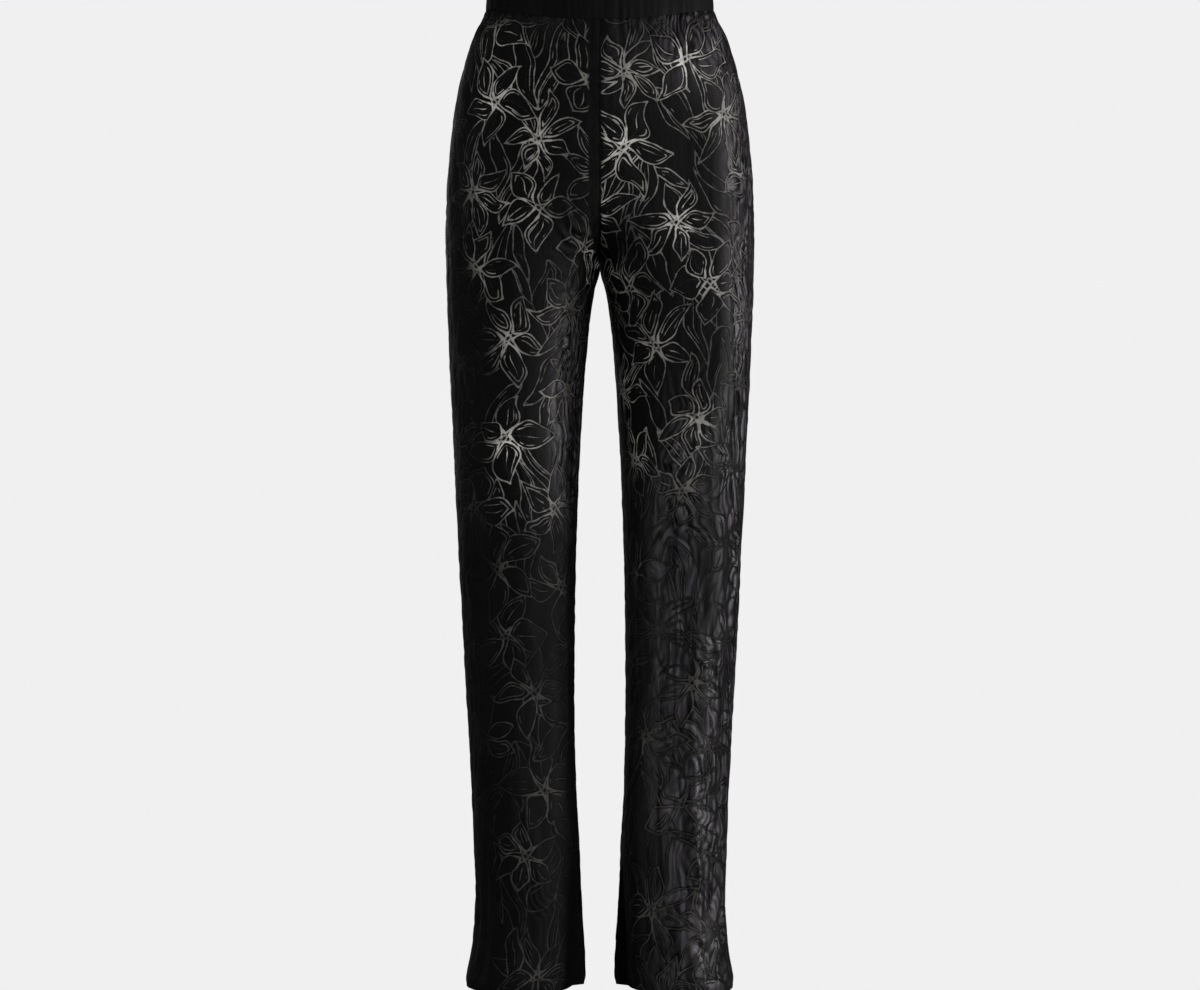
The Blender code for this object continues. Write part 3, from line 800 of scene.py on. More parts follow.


# Sheen: the floats lie smooth and shine down the outer side of the left leg and inside the right thigh, and
# are ruffled and duller elsewhere.  The sheen sets the roughness, and is also laid in the satin's colour as a
# painted sheen.  Each pair is mm from the middle of the leg, from dull to shiny.
SHEEN_HIGH = {"right": (20, 260), "left": (24, 92)}  # at the thigh
SHEEN_LOW = {"right": (20, 260), "left": (-66, -10)}  # at the shin
SHEEN_CHANGE = (380, 560)  # mm down, from the one to the other
SHEEN_LEAST = {"right": 0.08, "left": 0.04}
SHEEN_MOST = 4
SPOT_COLUMNS = ("leg", "face", "x", "y", "half_width", "half_length", "share")
SHEEN_SPOTS = (  # mm in the cloth; a share below 0 dulls it, and sheen above 1 is painted sheen only
    ("right", "front", -73, 450, 29, 100, 3.9),
    ("right", "front", -26, 16, 20, 24, 0.9),
    ("left", "front", 31, 500, 19, 260, -0.75),
    ("left", "front", 92, 480, 24, 210, 0.6),
    ("left", "front", -4, 790, 22, 340, 1.0),
    ("right", "front", -44, 790, 9, 280, 0.12),
    ("right", "front", 60, 40, 40, 60, 0.12),
    ("left", "front", 24, 26, 50, 56, 1.5),
    ("left", "front", 96, 230, 26, 190, 0.55),
    ("left", "front", -62, 60, 26, 70, 0.30),
    ("left", "front", 46, 900, 50, 200, 0.40),
    ("right", "back", -20, 150, 60, 110, 0.45),
    ("right", "back", 10, 620, 34, 300, 0.40),
    ("left", "back", -10, 170, 60, 110, 0.25),
)


def sheen(cloth, leg, face):
    """How shiny the cloth is, 0 to 1, for its roughness and its painted sheen; above 1 only the painted sheen
    grows, laid on even where the cloth faces no light.
    """
    change = ease((cloth["y"] - SHEEN_CHANGE[0]) / (SHEEN_CHANGE[1] - SHEEN_CHANGE[0]))
    start, end = (high + (low - high) * change for high, low in zip(SHEEN_HIGH[leg], SHEEN_LOW[leg]))
    least = SHEEN_LEAST[leg]
    shine = least + (1 - least) * ease((cloth["x"] - start) / (end - start))
    for spot in spots_on(cloth, SPOT_COLUMNS, SHEEN_SPOTS, leg, face):
        shine = shine + spot
    return np.clip(shine, 0, SHEEN_MOST)


# Puckers: fine wrinkles that the burning leaves in the cloth.  They run down the leg, swirl, and bend round
# the blades, and are strongest beside the knee and down the outer side.
# They tilt the bump, and also scale the painted sheen: a painted highlight on their ridges and painted shade
# in their troughs.
PUCKER_WAVE = 11.0  # mm
PUCKER_SWIRLS = (  # waves of push, mm down for each radian, mm across for each, shift
    (1.10, 37, 27, 0.0),
    (0.60, 21, -27, 2.0),
    (0.14, 8, 14, 4.1),
)
PUCKER_CURL = 1.3
PUCKER_LEAN = 3  # how much longer than the swirls the run across is in which they lean by a radian
PUCKER_ROUND_BLADES = 0.30  # radians for each mm away from a blade
PUCKER_LEAST = 0.10
PUCKER_SPOTS = (
    ("left", "front", 84, 420, 26, 420, 1.0),
    ("left", "front", 20, 500, 70, 120, 0.9),
    ("left", "front", 34, 860, 54, 330, 0.50),
    ("left", "front", 30, 20, 80, 40, 0.7),
    ("right", "front", -20, 1010, 60, 90, 0.5),
    ("right", "front", -72, 440, 34, 130, 1.0),
    ("right", "front", 20, 560, 60, 110, 0.35),
    ("left", "back", 60, 600, 50, 420, 0.8),
    ("left", "back", -10, 590, 70, 90, 0.7),
    ("right", "back", 60, 640, 50, 420, 0.7),
    ("right", "back", -10, 600, 70, 90, 0.7),
)


def from_blades(drawing):
    """mm from the nearest outline, below 0 inside a blade."""
    return np.min([drawing[layer][..., 0] for layer in LAYERS], axis=0)


def puckers(cloth, drawing, leg, face):
    """The wrinkles' phase in radians and their height, from 0 to 1."""
    x, y = cloth["x"], cloth["y"]
    push = x / PUCKER_WAVE
    for share, down, across, shift in PUCKER_SWIRLS:
        curl = PUCKER_CURL * np.sin(x / across)
        push = push + share * np.sin(y / down + curl + x / (PUCKER_LEAN * across) + shift)
    outside = from_blades(drawing)
    phase = TURN * push + PUCKER_ROUND_BLADES * outside
    rise = np.full(x.shape, PUCKER_LEAST)
    for spot in spots_on(cloth, SPOT_COLUMNS, PUCKER_SPOTS, leg, face):
        rise = np.maximum(rise, spot)
    return np.stack([phase, rise, np.zeros(x.shape)], axis=-1)


# Relief: the pile stands in soft pillows between the lines.
PILLOW = 0.95  # mm, inside petals and leaves
GROUND_PILLOW = 0.65  # mm, between them
PILLOW_WIDTH = 3.6
GROOVE = 0.35  # mm, along a midrib or vein
GROOVE_WIDTH = 1.5
SIDE_GROOVE = 0.7  # a side line's, as a share of a midrib's
BLADE_EDGE = 1.6  # mm over which the ground's pillow passes into the blade's


def relief(drawing):
    """How far the pile stands out, in mm, at the cloth's points."""
    outside = from_blades(drawing)
    lift = GROUND_PILLOW * (1 - np.exp(-np.clip(outside, 0, None) / PILLOW_WIDTH))
    for layer in LAYERS:
        edge, rib, line, _ = np.moveaxis(drawing[layer], -1, 0)
        pillow = PILLOW * (1 - np.exp(np.clip(edge, None, 0) / PILLOW_WIDTH))
        grooves = np.exp(-((rib / GROOVE_WIDTH) ** 2)) + SIDE_GROOVE * np.exp(-((line / GROOVE_WIDTH) ** 2))
        pillow = pillow - GROOVE * grooves
        inside = ease(0.5 - edge / BLADE_EDGE)
        lift = lift * (1 - inside) + pillow * inside
    padded = np.pad(lift, 1, mode="edge")
    soft = padded[:-2, 1:-1] + padded[2:, 1:-1] + padded[1:-1, :-2] + padded[1:-1, 2:] + 2 * lift
    return soft / 6


# ----------------------------------------------------------------------------------------------------------
# The satin.  Long floats of black viscose give the pile a soft sheen, and where it is burnt away the sheer
# ground is matt.  Node groups draw a layer's lines, a flower's heart, and the weave with its fine streaks.
# ----------------------------------------------------------------------------------------------------------
# The satin's colour also carries painted light: a painted sheen on the pile, painted shade beside the lines,
# and the painted light of the pale lines.
SATIN_BLACK = (0.0026, 0.0024, 0.0027, 1)
SATIN_PAINTED_SHEEN = (0.1800, 0.1680, 0.1850, 1)  # painted sheen: a grey laid in the satin's colour where the floats lie smooth and shine
SATIN_IOR = 1.45
SATIN_SPECULAR = 0.3
DULL_LINE = (0.0085, 0.0082, 0.0080, 1)
PALE_LINE = (0.43, 0.42, 0.39, 1)
NO_GLOW = (0.0, 0.0, 0.0, 1)
LINE_ROUGHNESS = 0.85
LINE_GLOW = 0.70  # share of the pale colour that the lines give off: a painted glow, as if light came through the sheer ground from behind
LINE_HALF = {"outline": 0.90, "rib": 0.64, "side": 0.58, "echo": 0.58}  # mm
LINE_SOFT = 0.45  # mm over which a line's edge fades
ECHO_APART = 3.5  # mm between the lines that follow a blade's outline inside it for a while
HEART = {  # mm, but for the counts
    "core": 1.9,
    "core_edge": (-0.4, 0.2),
    "ring": 3.2,
    "ring_half": 0.8,
    "spokes": 5,
    "spoke_half": 0.9,
    "spoke_start": 1.5,
    "spoke_end": 6.8,
    "spoke_shorter": 2,
    "spoke_swing": 1.8,
    "spoke_waves": 3.0,  # of their ends round the heart
    "spoke_edge": (-0.3, 0.1),
    "spoke_fade": 1,
    "slack": 3.0,  # the offset runs through 0 half way between two flowers, and this puts it right
}
THREADS = {"scale": (700, 70), "detail": 3.0}  # across and down, for each metre
STREAKS = {"scale": (120, 14), "detail": 4.0, "distortion": 0.6}
BRUSH_SCALE = 110  # how often the hand presses harder or lighter, for each metre
ECHO_SCALE = 38
BUMP_DEPTH = 0.0010
BUMP_SHARES = {"thread": 0.10, "streak": 0.45, "pucker": 0.68, "line": -0.85}
DULL_SATIN = 0.60  # how much rougher the cloth is where it is dullest
# Each of these is a range of what is measured, and what it is turned into from its start to its end.
WITHIN_BLADE = (-0.2, 0.4, 1.0, 0.0)  # mm from the outline
LINE_SHADE = (0.9, 3.4, 1.0, 0.0)  # mm from a line: the pile beside it dips, and painted shade makes it darker
ECHO_START = (0.0, 0.3)
ECHO_FADE = (4.8, 6.2, 1.0, 0.0)  # mm inwards
ECHO_NOISE = {"petal": (0.49, 0.545, 0.0, 1.0), "leaf": (0.56, 0.615, 0.0, 1.0)}  # where echoes run
ECHO_FROM_HEART = (8.0, 15.0)  # mm, on petals
BRUSH_WEIGHT = (0.3, 0.7, 0.58, 1.24)  # how heavy a line is, by the hand
HEART_WEIGHT = (3.0, 28.0, 1.28, 0.8)  # and by mm from the heart
BRUSH_INK = (0.35, 0.6, 0.62, 1.0)  # how pale a line is, by the same two
HEART_INK = (4.0, 44.0, 1.35, 0.62)
STREAK_ROUGHNESS = (0.3, 0.7, 0.25, 0.38)
PUCKER_PAINTED_SHEEN = (-1.0, 1.0, 0.1, 1.7)  # painted shade in the wrinkles' troughs and painted highlight on their ridges, as shares of the painted sheen
STREAK_PAINTED_SHEEN = (0.38, 0.62, 0.30, 1.45)  # the same for the slow streaks
# painted shade beside the lines: the share of the painted sheen left away from a line, and right beside it
SHADE_ON_PAINTED_SHEEN = (0.0, 1.0, 0.25, 0.035)
CELL_GLOSS = (0.3, 0.95, 0.45, 1.35)  # by its ink, so that each petal or leaf takes the light its own way, in its roughness and its painted sheen


def feed(tree, socket, value):
    """Links an output to a socket, or sets a number on it."""
    if isinstance(value, bpy.types.NodeSocket):
        tree.links.new(value, socket)
    else:
        socket.default_value = value


def maths(tree, operation, *values):
    step = tree.nodes.new("ShaderNodeMath")
    step.operation = operation
    for socket, value in zip(step.inputs, values):
        feed(tree, socket, value)
    return step.outputs[0]


def chained(tree, operation, first, *others):
    """The operation on the first two values, then on what it gives and the next one, and so on."""
    for other in others:
        first = maths(tree, operation, first, other)
    return first


def passing(tree, value, start, end, first=0.0, last=1.0):
    """Goes smoothly from first to last as value goes from start to end."""
    step = tree.nodes.new("ShaderNodeMapRange")
    step.interpolation_type = "SMOOTHSTEP"
    parts = {"Value": value, "From Min": start, "From Max": end, "To Min": first, "To Max": last}
    for name, part in parts.items():
        feed(tree, step.inputs[name], part)
    return step.outputs[0]


def blended(tree, share, first, second, colours=False):
    step = tree.nodes.new("ShaderNodeMix")
    step.data_type = "RGBA" if colours else "FLOAT"
    feed(tree, step.inputs[0], share)
    feed(tree, step.inputs[6 if colours else 2], first)
    feed(tree, step.inputs[7 if colours else 3], second)
    return step.outputs[2 if colours else 0]


def split(tree, vector):
    step = tree.nodes.new("ShaderNodeSeparateXYZ")
    tree.links.new(vector, step.inputs[0])
    return step.outputs


def noise(tree, place, scale, detail=2.0, distortion=0.0):
    """Noise over the cloth.  A scale of two numbers stretches it, across and down."""
    if isinstance(scale, tuple):
        stretched = tree.nodes.new("ShaderNodeMapping")
        stretched.inputs["Scale"].default_value = (*scale, 1)
        tree.links.new(place, stretched.inputs["Vector"])
        place, scale = stretched.outputs[0], 1.0
    step = tree.nodes.new("ShaderNodeTexNoise")
    for name, value in (("Vector", place), ("Scale", scale), ("Detail", detail), ("Distortion", distortion)):
        feed(tree, step.inputs[name], value)
    return step.outputs[0]


def stored(tree, attribute):
    reader = tree.nodes.new("ShaderNodeAttribute")
    reader.attribute_name = attribute
    return reader.outputs


def drawn(tree, distance, half):
    """1 on a line, where the distance is less than its half width, and 0 away from it."""
    near = maths(tree, "SUBTRACT", maths(tree, "ABSOLUTE", distance), half)
    return passing(tree, near, -LINE_SOFT / 2, LINE_SOFT / 2, 1.0, 0.0)


def new_group(name, inputs, outputs):
    group = bpy.data.node_groups.new(name, "ShaderNodeTree")
    for socket, kind in inputs.items():
        group.interface.new_socket(socket, in_out="INPUT", socket_type=kind)
    for socket, kind in outputs.items():
        group.interface.new_socket(socket, in_out="OUTPUT", socket_type=kind)
    return group, group.nodes.new("NodeGroupInput").outputs, group.nodes.new("NodeGroupOutput").inputs


def placed(tree, group, feeds):
    step = tree.nodes.new("ShaderNodeGroup")
    step.node_tree = group
    for name, value in feeds.items():
        feed(tree, step.inputs[name], value)
    return step.outputs


blade_group, given, made = new_group(
    "burnt_blade",
    {
        "Distances": "NodeSocketVector",
        "Ink": "NodeSocketFloat",
        "Weight": "NodeSocketFloat",
        "Line Below": "NodeSocketFloat",
        "Ink Below": "NodeSocketFloat",
        "Shade Below": "NodeSocketFloat",
        "Echo": "NodeSocketFloat",
    },
    {"Line": "NodeSocketFloat", "Ink": "NodeSocketFloat", "Shade": "NodeSocketFloat"},
)
edge, rib, side_line = split(blade_group, given["Distances"])
# Painted shade: how much darker the pile is painted beside each line.
shade_of = [maths(blade_group, "ABSOLUTE", line) for line in (edge, rib, side_line)]
shade_of = [passing(blade_group, distance, *LINE_SHADE) for distance in shade_of]
outline, ribs, side_lines = (
    drawn(blade_group, line, maths(blade_group, "MULTIPLY", given["Weight"], LINE_HALF[name]))
    for name, line in (("outline", edge), ("rib", rib), ("side", side_line))
)
within = passing(blade_group, edge, *WITHIN_BLADE)
inwards = maths(blade_group, "ABSOLUTE", edge)
echo_half = maths(blade_group, "MULTIPLY", given["Echo"], LINE_HALF["echo"])
echoes = chained(
    blade_group,
    "MULTIPLY",
    drawn(blade_group, maths(blade_group, "PINGPONG", inwards, ECHO_APART / 2), echo_half),
    passing(blade_group, given["Echo"], *ECHO_START),
    passing(blade_group, inwards, *ECHO_FADE),
)
inner_lines = chained(blade_group, "MAXIMUM", ribs, side_lines, echoes)
inner_lines = maths(blade_group, "MULTIPLY", inner_lines, within)
lines = maths(blade_group, "MAXIMUM", outline, inner_lines)
covered = blended(blade_group, within, given["Line Below"], lines)
owned = maths(blade_group, "MAXIMUM", within, outline)
shades = chained(blade_group, "MAXIMUM", shade_of[1], shade_of[2], shade_of[0])
shades = blended(blade_group, within, given["Shade Below"], shades)
blade_group.links.new(maths(blade_group, "MAXIMUM", covered, outline), made["Line"])
blade_group.links.new(blended(blade_group, owned, given["Ink Below"], given["Ink"]), made["Ink"])
blade_group.links.new(maths(blade_group, "MAXIMUM", shades, shade_of[0]), made["Shade"])

heart_group, given, made = new_group(
    "flower_heart",
    {"Offset": "NodeSocketVector", "Line Below": "NodeSocketFloat"},
    {"Line": "NodeSocketFloat", "Distance": "NodeSocketFloat"},
)
across, down, away = split(heart_group, given["Offset"])
squared = maths(heart_group, "MULTIPLY_ADD", across, across, maths(heart_group, "MULTIPLY", down, down))
stored_away = maths(heart_group, "SUBTRACT", away, HEART["slack"])
distance = maths(heart_group, "MAXIMUM", maths(heart_group, "SQRT", squared), stored_away)
turn = maths(heart_group, "ARCTAN2", down, across)
spoke_wave = maths(heart_group, "SINE", maths(heart_group, "MULTIPLY", turn, HEART["spokes"] / 2))
end_wave = maths(heart_group, "SINE", maths(heart_group, "MULTIPLY", turn, HEART["spoke_waves"]))
spoke_middle = HEART["spoke_end"] - HEART["spoke_shorter"]
spoke_end = maths(heart_group, "MULTIPLY_ADD", end_wave, HEART["spoke_swing"], spoke_middle)
from_spoke = maths(heart_group, "MULTIPLY", maths(heart_group, "ABSOLUTE", spoke_wave), distance)
from_spoke = maths(heart_group, "DIVIDE", from_spoke, HEART["spokes"] / 2)
spoke_half = passing(heart_group, distance, HEART["spoke_start"], spoke_end, HEART["spoke_half"], 0.0)
past_edge = maths(heart_group, "SUBTRACT", from_spoke, spoke_half)
spokes = passing(heart_group, past_edge, *HEART["spoke_edge"], 1.0, 0.0)
spokes_fade = passing(heart_group, distance, spoke_end, HEART["spoke_end"] + HEART["spoke_fade"], 1.0, 0.0)
spokes = maths(heart_group, "MULTIPLY", spokes, spokes_fade)
ring = drawn(heart_group, maths(heart_group, "SUBTRACT", distance, HEART["ring"]), HEART["ring_half"])
core_start, core_end = (HEART["core"] + by for by in HEART["core_edge"])
core = passing(heart_group, distance, core_start, core_end, 0.0, 1.0)
all_lines = chained(heart_group, "MAXIMUM", spokes, ring, given["Line Below"])
heart_group.links.new(maths(heart_group, "MULTIPLY", all_lines, core), made["Line"])
heart_group.links.new(distance, made["Distance"])

weave_group, given, made = new_group(
    "satin_weave", {"Place": "NodeSocketVector"}, {"Height": "NodeSocketFloat", "Streak": "NodeSocketFloat"}
)
weave_group.links.new(noise(weave_group, given["Place"], **THREADS), made["Height"])
weave_group.links.new(noise(weave_group, given["Place"], **STREAKS), made["Streak"])


def satin_material(name, pattern=True):
    material = bpy.data.materials.new(name)
    material.use_nodes = True
    tree = material.node_tree
    shader = tree.nodes["Principled BSDF"]
    shader.inputs["IOR"].default_value = SATIN_IOR
    shader.inputs["Specular IOR Level"].default_value = SATIN_SPECULAR
    uv_map = tree.nodes.new("ShaderNodeUVMap")
    uv_map.uv_map = "cloth"
    place = uv_map.outputs[0]
    weave = placed(tree, weave_group, {"Place": place})
    shine = stored(tree, "sheen")["Fac"]
    streaky = passing(tree, weave["Streak"], *STREAK_ROUGHNESS)
    soft = maths(tree, "MULTIPLY", weave["Height"], BUMP_SHARES["thread"])
    soft = maths(tree, "MULTIPLY_ADD", weave["Streak"], BUMP_SHARES["streak"], soft)
    bump = tree.nodes.new("ShaderNodeBump")
    bump.inputs["Distance"].default_value = BUMP_DEPTH
    tree.links.new(bump.outputs["Normal"], shader.inputs["Normal"])
    if not pattern:
        dull = maths(tree, "MULTIPLY", maths(tree, "SUBTRACT", 1.0, shine), DULL_SATIN)
        shader.inputs["Base Color"].default_value = SATIN_BLACK
        feed(tree, shader.inputs["Roughness"], maths(tree, "ADD", streaky, dull))
        feed(tree, bump.inputs["Height"], soft)
        return material

    pucker_phase, pucker_height, _ = split(tree, stored(tree, "pucker")["Vector"])
    pucker = maths(tree, "MULTIPLY", maths(tree, "SINE", pucker_phase), pucker_height)
    soft = maths(tree, "MULTIPLY_ADD", pucker, BUMP_SHARES["pucker"], soft)
    brush = noise(tree, place, BRUSH_SCALE)
    echo_brush = noise(tree, place, ECHO_SCALE)
    heart = stored(tree, "heart")["Vector"]
    heart_distance = placed(tree, heart_group, {"Offset": heart})["Distance"]
    by_hand, by_heart = passing(tree, brush, *BRUSH_WEIGHT), passing(tree, heart_distance, *HEART_WEIGHT)
    weight = maths(tree, "MULTIPLY", by_hand, by_heart)
    echoes = {kind: passing(tree, echo_brush, *values) for kind, values in ECHO_NOISE.items()}
    away = passing(tree, heart_distance, *ECHO_FROM_HEART)
    echoes["petal"] = maths(tree, "MULTIPLY", echoes["petal"], away)

    lines, ink, shade = 0.0, PLAIN_INK, 0.0
    for layer in LAYERS:
        reader = stored(tree, layer)
        feeds = {"Distances": reader["Vector"], "Ink": reader["Alpha"], "Weight": weight}
        feeds.update({"Line Below": lines, "Ink Below": ink, "Shade Below": shade})
        feeds["Echo"] = echoes[layer.split("_")[0]]
        layered = placed(tree, blade_group, feeds)
        lines, ink, shade = layered["Line"], layered["Ink"], layered["Shade"]
    lines = placed(tree, heart_group, {"Offset": heart, "Line Below": lines})["Line"]
    lines = maths(tree, "MULTIPLY", lines, stored(tree, "patterned")["Fac"])

    shine = maths(tree, "MULTIPLY", shine, passing(tree, ink, *CELL_GLOSS))
    smooth = maths(tree, "MINIMUM", shine, 1.0)
    dull = maths(tree, "MULTIPLY", maths(tree, "SUBTRACT", 1.0, smooth), DULL_SATIN)
    roughness = maths(tree, "ADD", streaky, dull)
    # Painted sheen: a grey in the satin's colour, brighter on the wrinkles' ridges and the streaks, darker in
    # their troughs and beside the lines.
    ridges = passing(tree, pucker, *PUCKER_PAINTED_SHEEN)
    ridges = maths(tree, "MULTIPLY", ridges, passing(tree, weave["Streak"], *STREAK_PAINTED_SHEEN))
    painted_sheen = chained(tree, "MULTIPLY", shine, ridges, passing(tree, shade, *SHADE_ON_PAINTED_SHEEN))
    satin = blended(tree, painted_sheen, SATIN_BLACK, SATIN_PAINTED_SHEEN, colours=True)
    by_hand, by_heart = passing(tree, brush, *BRUSH_INK), passing(tree, heart_distance, *HEART_INK)
    ink = chained(tree, "MULTIPLY", ink, by_hand, by_heart)
    # Painted light in the sheer lines: their pale colour and their glow follow the painted paleness.
    pale = maths(tree, "MULTIPLY", stored(tree, "pale")["Fac"], ink)
    line_colour = blended(tree, pale, DULL_LINE, PALE_LINE, colours=True)
    glow = chained(tree, "MULTIPLY", lines, pale, LINE_GLOW)
    feed(tree, shader.inputs["Base Color"], blended(tree, lines, satin, line_colour, colours=True))
    feed(tree, shader.inputs["Roughness"], blended(tree, lines, roughness, LINE_ROUGHNESS))
    feed(tree, shader.inputs["Emission Color"], blended(tree, glow, NO_GLOW, PALE_LINE, colours=True))
    shader.inputs["Emission Strength"].default_value = 1.0
    feed(tree, bump.inputs["Height"], maths(tree, "MULTIPLY_ADD", lines, BUMP_SHARES["line"], soft))
    return material


# ----------------------------------------------------------------------------------------------------------
# The four leg panels.  Each is a sheet of the satin moved to its place, lifted by its folds, gathers, seams
# and relief, and given its thickness inwards.
# ----------------------------------------------------------------------------------------------------------
SATIN_THICKNESS = 0.0010
RELIEF_MARGIN = 2.5  # mm from a seam over which the relief dies out
PLAIN_MARGIN = (0.6, 2)  # mm of cloth with no lines beside a seam, and mm over which they come in
PANEL_CUT = {  # the widest line across and the length in metres, and the area, all of the cloth that shows
    "front": (0.313, 1.10, 0.265),
    "back": (0.310, 1.12, 0.271),
}


def waist_turns(cloths):
    """Where each panel's columns lie round the waist, as shares of a turn from the centre back, for +X."""
    first_edge = {"back": "inner", "front": "outer"}
    at, girths = {}, {}
    for face, cloth in cloths.items():
        width = cloth["inner"] + cloth["outer"]
        at[face] = cloth[first_edge[face]] / width
        girths[face] = width[0, 0]
    total = 2 * (girths["front"] + girths["back"])
    back = at["back"] * girths["back"]
    front = girths["back"] + at["front"] * girths["front"]
    return {"back": back / total, "front": front / total}


def sheet_mesh(name, points, columns, rows, flipped):
    """A mesh grid moved to its points, and each vertex's row and column."""
    bm = bmesh.new()
    bmesh.ops.create_grid(bm, x_segments=columns, y_segments=rows, size=1)
    at_column = [round((v.co.x + 1) / 2 * columns) for v in bm.verts]
    at_row = [round((1 - v.co.y) / 2 * rows) for v in bm.verts]
    for v, row, column in zip(bm.verts, at_row, at_column):
        v.co = points[row, column]
    if flipped:
        bmesh.ops.reverse_faces(bm, faces=bm.faces[:])
    mesh = bpy.data.meshes.new(name)
    bm.to_mesh(mesh)
    bm.free()
    mesh.shade_smooth()
    return mesh, np.array(at_row), np.array(at_column)


def store(mesh, name, kind, values):
    attribute = mesh.attributes.new(name, kind, "POINT")
    field = {"FLOAT": "value", "FLOAT_VECTOR": "vector", "FLOAT_COLOR": "color"}[kind]
    attribute.data.foreach_set(field, values.astype(np.float32).ravel())


def store_cloth_map(mesh, across, down):
    """The UV map has the cloth's own x and y, in metres."""
    corners = np.zeros(len(mesh.loops), dtype=np.int32)
    mesh.loops.foreach_get("vertex_index", corners)
    layer = mesh.uv_layers.new(name="cloth")
    pairs = np.stack([across[corners], down[corners]], axis=1)
    layer.uv.foreach_set("vector", pairs.astype(np.float32).ravel())


def add_piece(name, mesh, thickness):
    piece = bpy.data.objects.new(name, mesh)
    bpy.context.scene.collection.objects.link(piece)
    if thickness:
        wall = piece.modifiers.new("wall", "SOLIDIFY")
        wall.thickness = thickness
        wall.offset = -1
        wall.use_even_offset = False
    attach(piece, "root")
    return piece


burnt_satin = satin_material("burnt_out_satin")
cloths = {face: cut_panel(face) for face in FACES}
turns = waist_turns(cloths)
for leg, side in LEGS.items():
    for face in FACES:
        cloth = cloths[face]
        drawing = draw(cloth, leg, face)
        band = plain_band(cloth, leg, face)
        turn = turns[face] if leg == "left" else 1 - turns[face]
        lift = fold_lift(cloth, leg, face) + crease_lift(cloth, leg, face) + ripple_lift(cloth, leg, face)
        lift += gather_lift(cloth, turn) + seam_lift(cloth)
        lift += relief(drawing) * ease(from_seam(cloth) / RELIEF_MARGIN) * band
        points = cloth["place"] + cloth["out"] * lift[..., None] * MM
        points[cloth["drop"][:, 0] < CROTCH_DROP, 0, 0] = 0
        points[..., 0] *= side
        flipped = (leg == "right") != (face == "back")
        name = f"{face}_{leg}_satin"
        mesh, rows_of, columns_of = sheet_mesh(name, points, COLUMNS, len(points) - 1, flipped)
        patterned = band * ease((from_seam(cloth) - PLAIN_MARGIN[0]) / PLAIN_MARGIN[1])
        measures = [(layer, "FLOAT_COLOR", drawing[layer]) for layer in LAYERS]
        measures += [
            ("heart", "FLOAT_VECTOR", drawing["heart"]),
            # pale is the painted light in the sheer lines
            ("pale", "FLOAT", painted_line_light(cloth, leg, face)),
            # sheen sets the roughness and the painted sheen
            ("sheen", "FLOAT", sheen(cloth, leg, face)),
            ("pucker", "FLOAT_VECTOR", puckers(cloth, drawing, leg, face)),
            ("patterned", "FLOAT", patterned),
        ]
        for attribute, kind, values in measures:
            store(mesh, attribute, kind, values[rows_of, columns_of])
        across, down = (cloth[axis][rows_of, columns_of] * MM for axis in "xy")
        store_cloth_map(mesh, across * side, down)
        mesh.materials.append(burnt_satin)
        piece = add_piece(name, mesh, SATIN_THICKNESS)
        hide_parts(f"{face}_{leg}")
        width, length, area = PANEL_CUT[face]

# ----------------------------------------------------------------------------------------------------------
# The waistband.  A casing of the same satin, folded over a soft elastic and gathered by it, so that it stands
# in about sixty small upright folds, sewn to the tops of the panels.
# ----------------------------------------------------------------------------------------------------------
BAND_COLUMNS = 960
BAND_WALL = 0.0030
BAND_BULGE = 0.0012
BAND_GATHER = 0.0005
BAND_EASE = 0.45  # how much shallower the gathers are half way up
BAND_RIPPLES = ((31, 3, 0.25), (97, -2, 0.20))  # finer waves between them: count, lean, share
BAND_INSIDE = 0.4  # share of the gathers' depth that shows inside
BAND_RADIUS = 0.11  # metres of cloth for each radian round it
BAND_SHEEN = 0.20
BAND_SECTION = 24  # points round the casing's section
BAND_SQUARE = 5  # how square its section is


def band_ring(drop, columns):
    """Points round the waistband at this drop, at even steps, starting at the centre back."""
    size = section(drop)
    angle = np.linspace(0, TURN, 4 * OUTLINE_STEPS + 1)
    power = 2 / size["fullness"]
    outwards = np.abs(np.cos(angle)) ** power
    x = size["half_width"] * rounded(np.sin(angle), power)
    reach = np.where(np.cos(angle) > 0, size["back"], size["front"]) - size["side"]
    y = size["side"] + reach * outwards
    back = height(drop, "back", outwards**2)
    z = np.where(np.cos(angle) > 0, back, height(drop, "front", outwards**2))
    line = np.stack([x, y, z], axis=1)
    along = lengths_along(line)
    at = np.arange(columns) / columns * along[-1]
    return points_at(line, along, at)


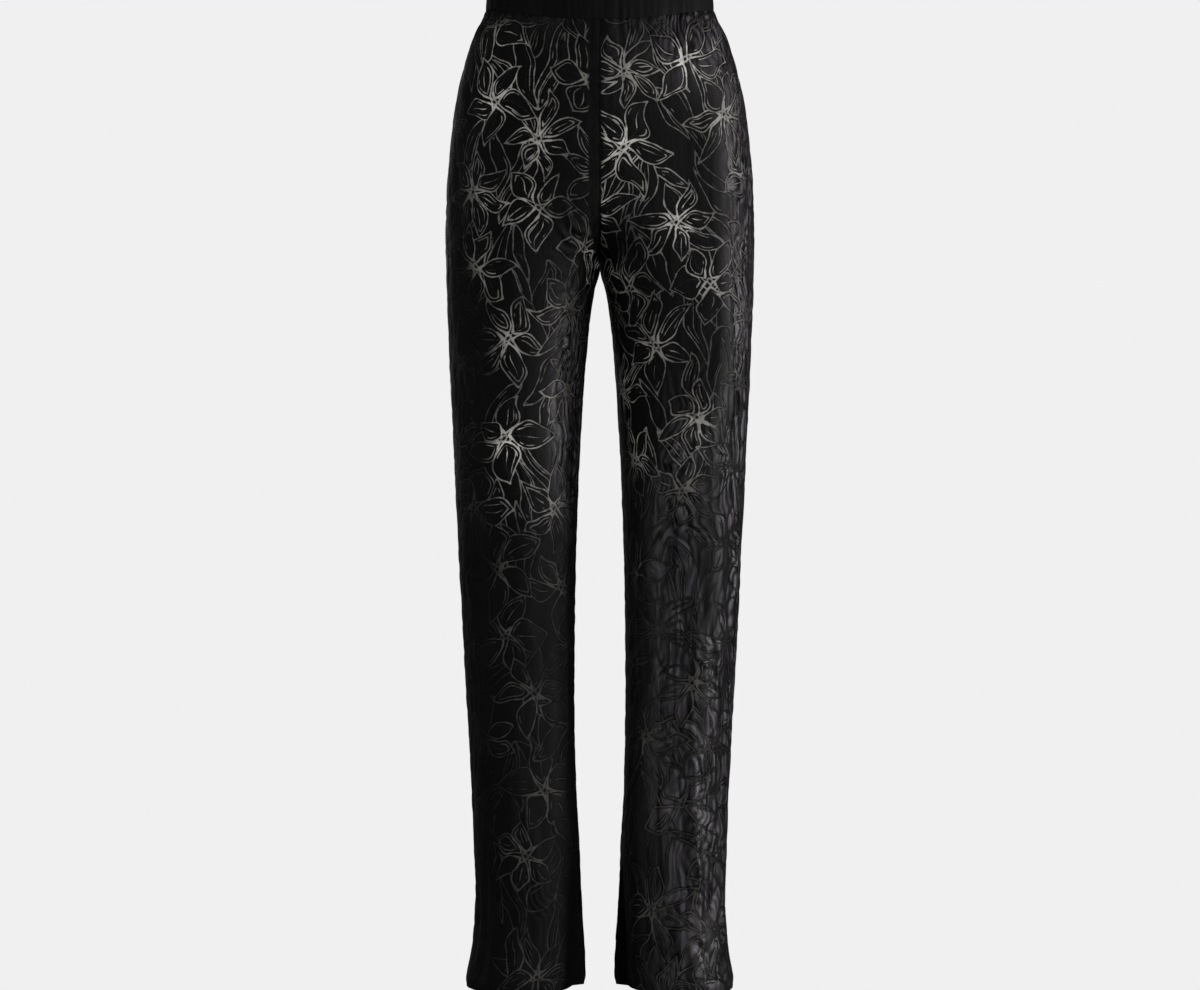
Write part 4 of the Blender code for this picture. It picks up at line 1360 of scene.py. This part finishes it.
turn = np.arange(BAND_COLUMNS) / BAND_COLUMNS
wave = gather_wave(turn)
rings = []
for i in range(BAND_SECTION):
    angle = TURN * i / BAND_SECTION
    up = rounded(np.sin(angle), 2 / BAND_SQUARE)
    outward = rounded(np.cos(angle), 2 / BAND_SQUARE)
    share = (up + 1) / 2
    ring = band_ring(-BAND_HEIGHT * share, BAND_COLUMNS)
    away = ring * [1, 1, 0]
    away = away / np.linalg.norm(away, axis=1, keepdims=True)
    middle = math.sin(math.pi * share)
    fine = sum(part * np.sin(waves * TURN * turn + lean * share) for waves, lean, part in BAND_RIPPLES)
    gathers = BAND_GATHER * ((1 - BAND_EASE * middle) * wave + fine)
    gathers = gathers * (BAND_INSIDE + (1 - BAND_INSIDE) * (outward > 0))
    out = (outward - 1) * BAND_WALL / 2 + BAND_BULGE * middle + gathers
    rings.append(ring + away * out[:, None])
rings = np.array(rings)

bm = bmesh.new()
bmesh.ops.create_grid(bm, x_segments=BAND_COLUMNS, y_segments=BAND_SECTION, size=1)
for v in bm.verts:
    column = round((v.co.x + 1) / 2 * BAND_COLUMNS)
    row = round((v.co.y + 1) / 2 * BAND_SECTION)
    v.co = rings[row % BAND_SECTION, column % BAND_COLUMNS]
bmesh.ops.remove_doubles(bm, verts=bm.verts[:], dist=1e-6)
bmesh.ops.recalc_face_normals(bm, faces=bm.faces[:])
band_mesh = bpy.data.meshes.new("waistband_casing")
bm.to_mesh(band_mesh)
bm.free()
band_mesh.shade_smooth()
band_places = np.zeros(len(band_mesh.vertices) * 3, dtype=np.float32)
band_mesh.vertices.foreach_get("co", band_places)
band_places = band_places.reshape(-1, 3)
around = np.arctan2(band_places[:, 0], -band_places[:, 1])
store_cloth_map(band_mesh, np.abs(around) * BAND_RADIUS, -band_places[:, 2])
band_mesh.materials.append(satin_material("waistband_satin", pattern=False))
store(band_mesh, "sheen", "FLOAT", np.full(len(band_mesh.vertices), BAND_SHEEN))
casing = add_piece("waistband_casing", band_mesh, 0)
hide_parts("waistband")
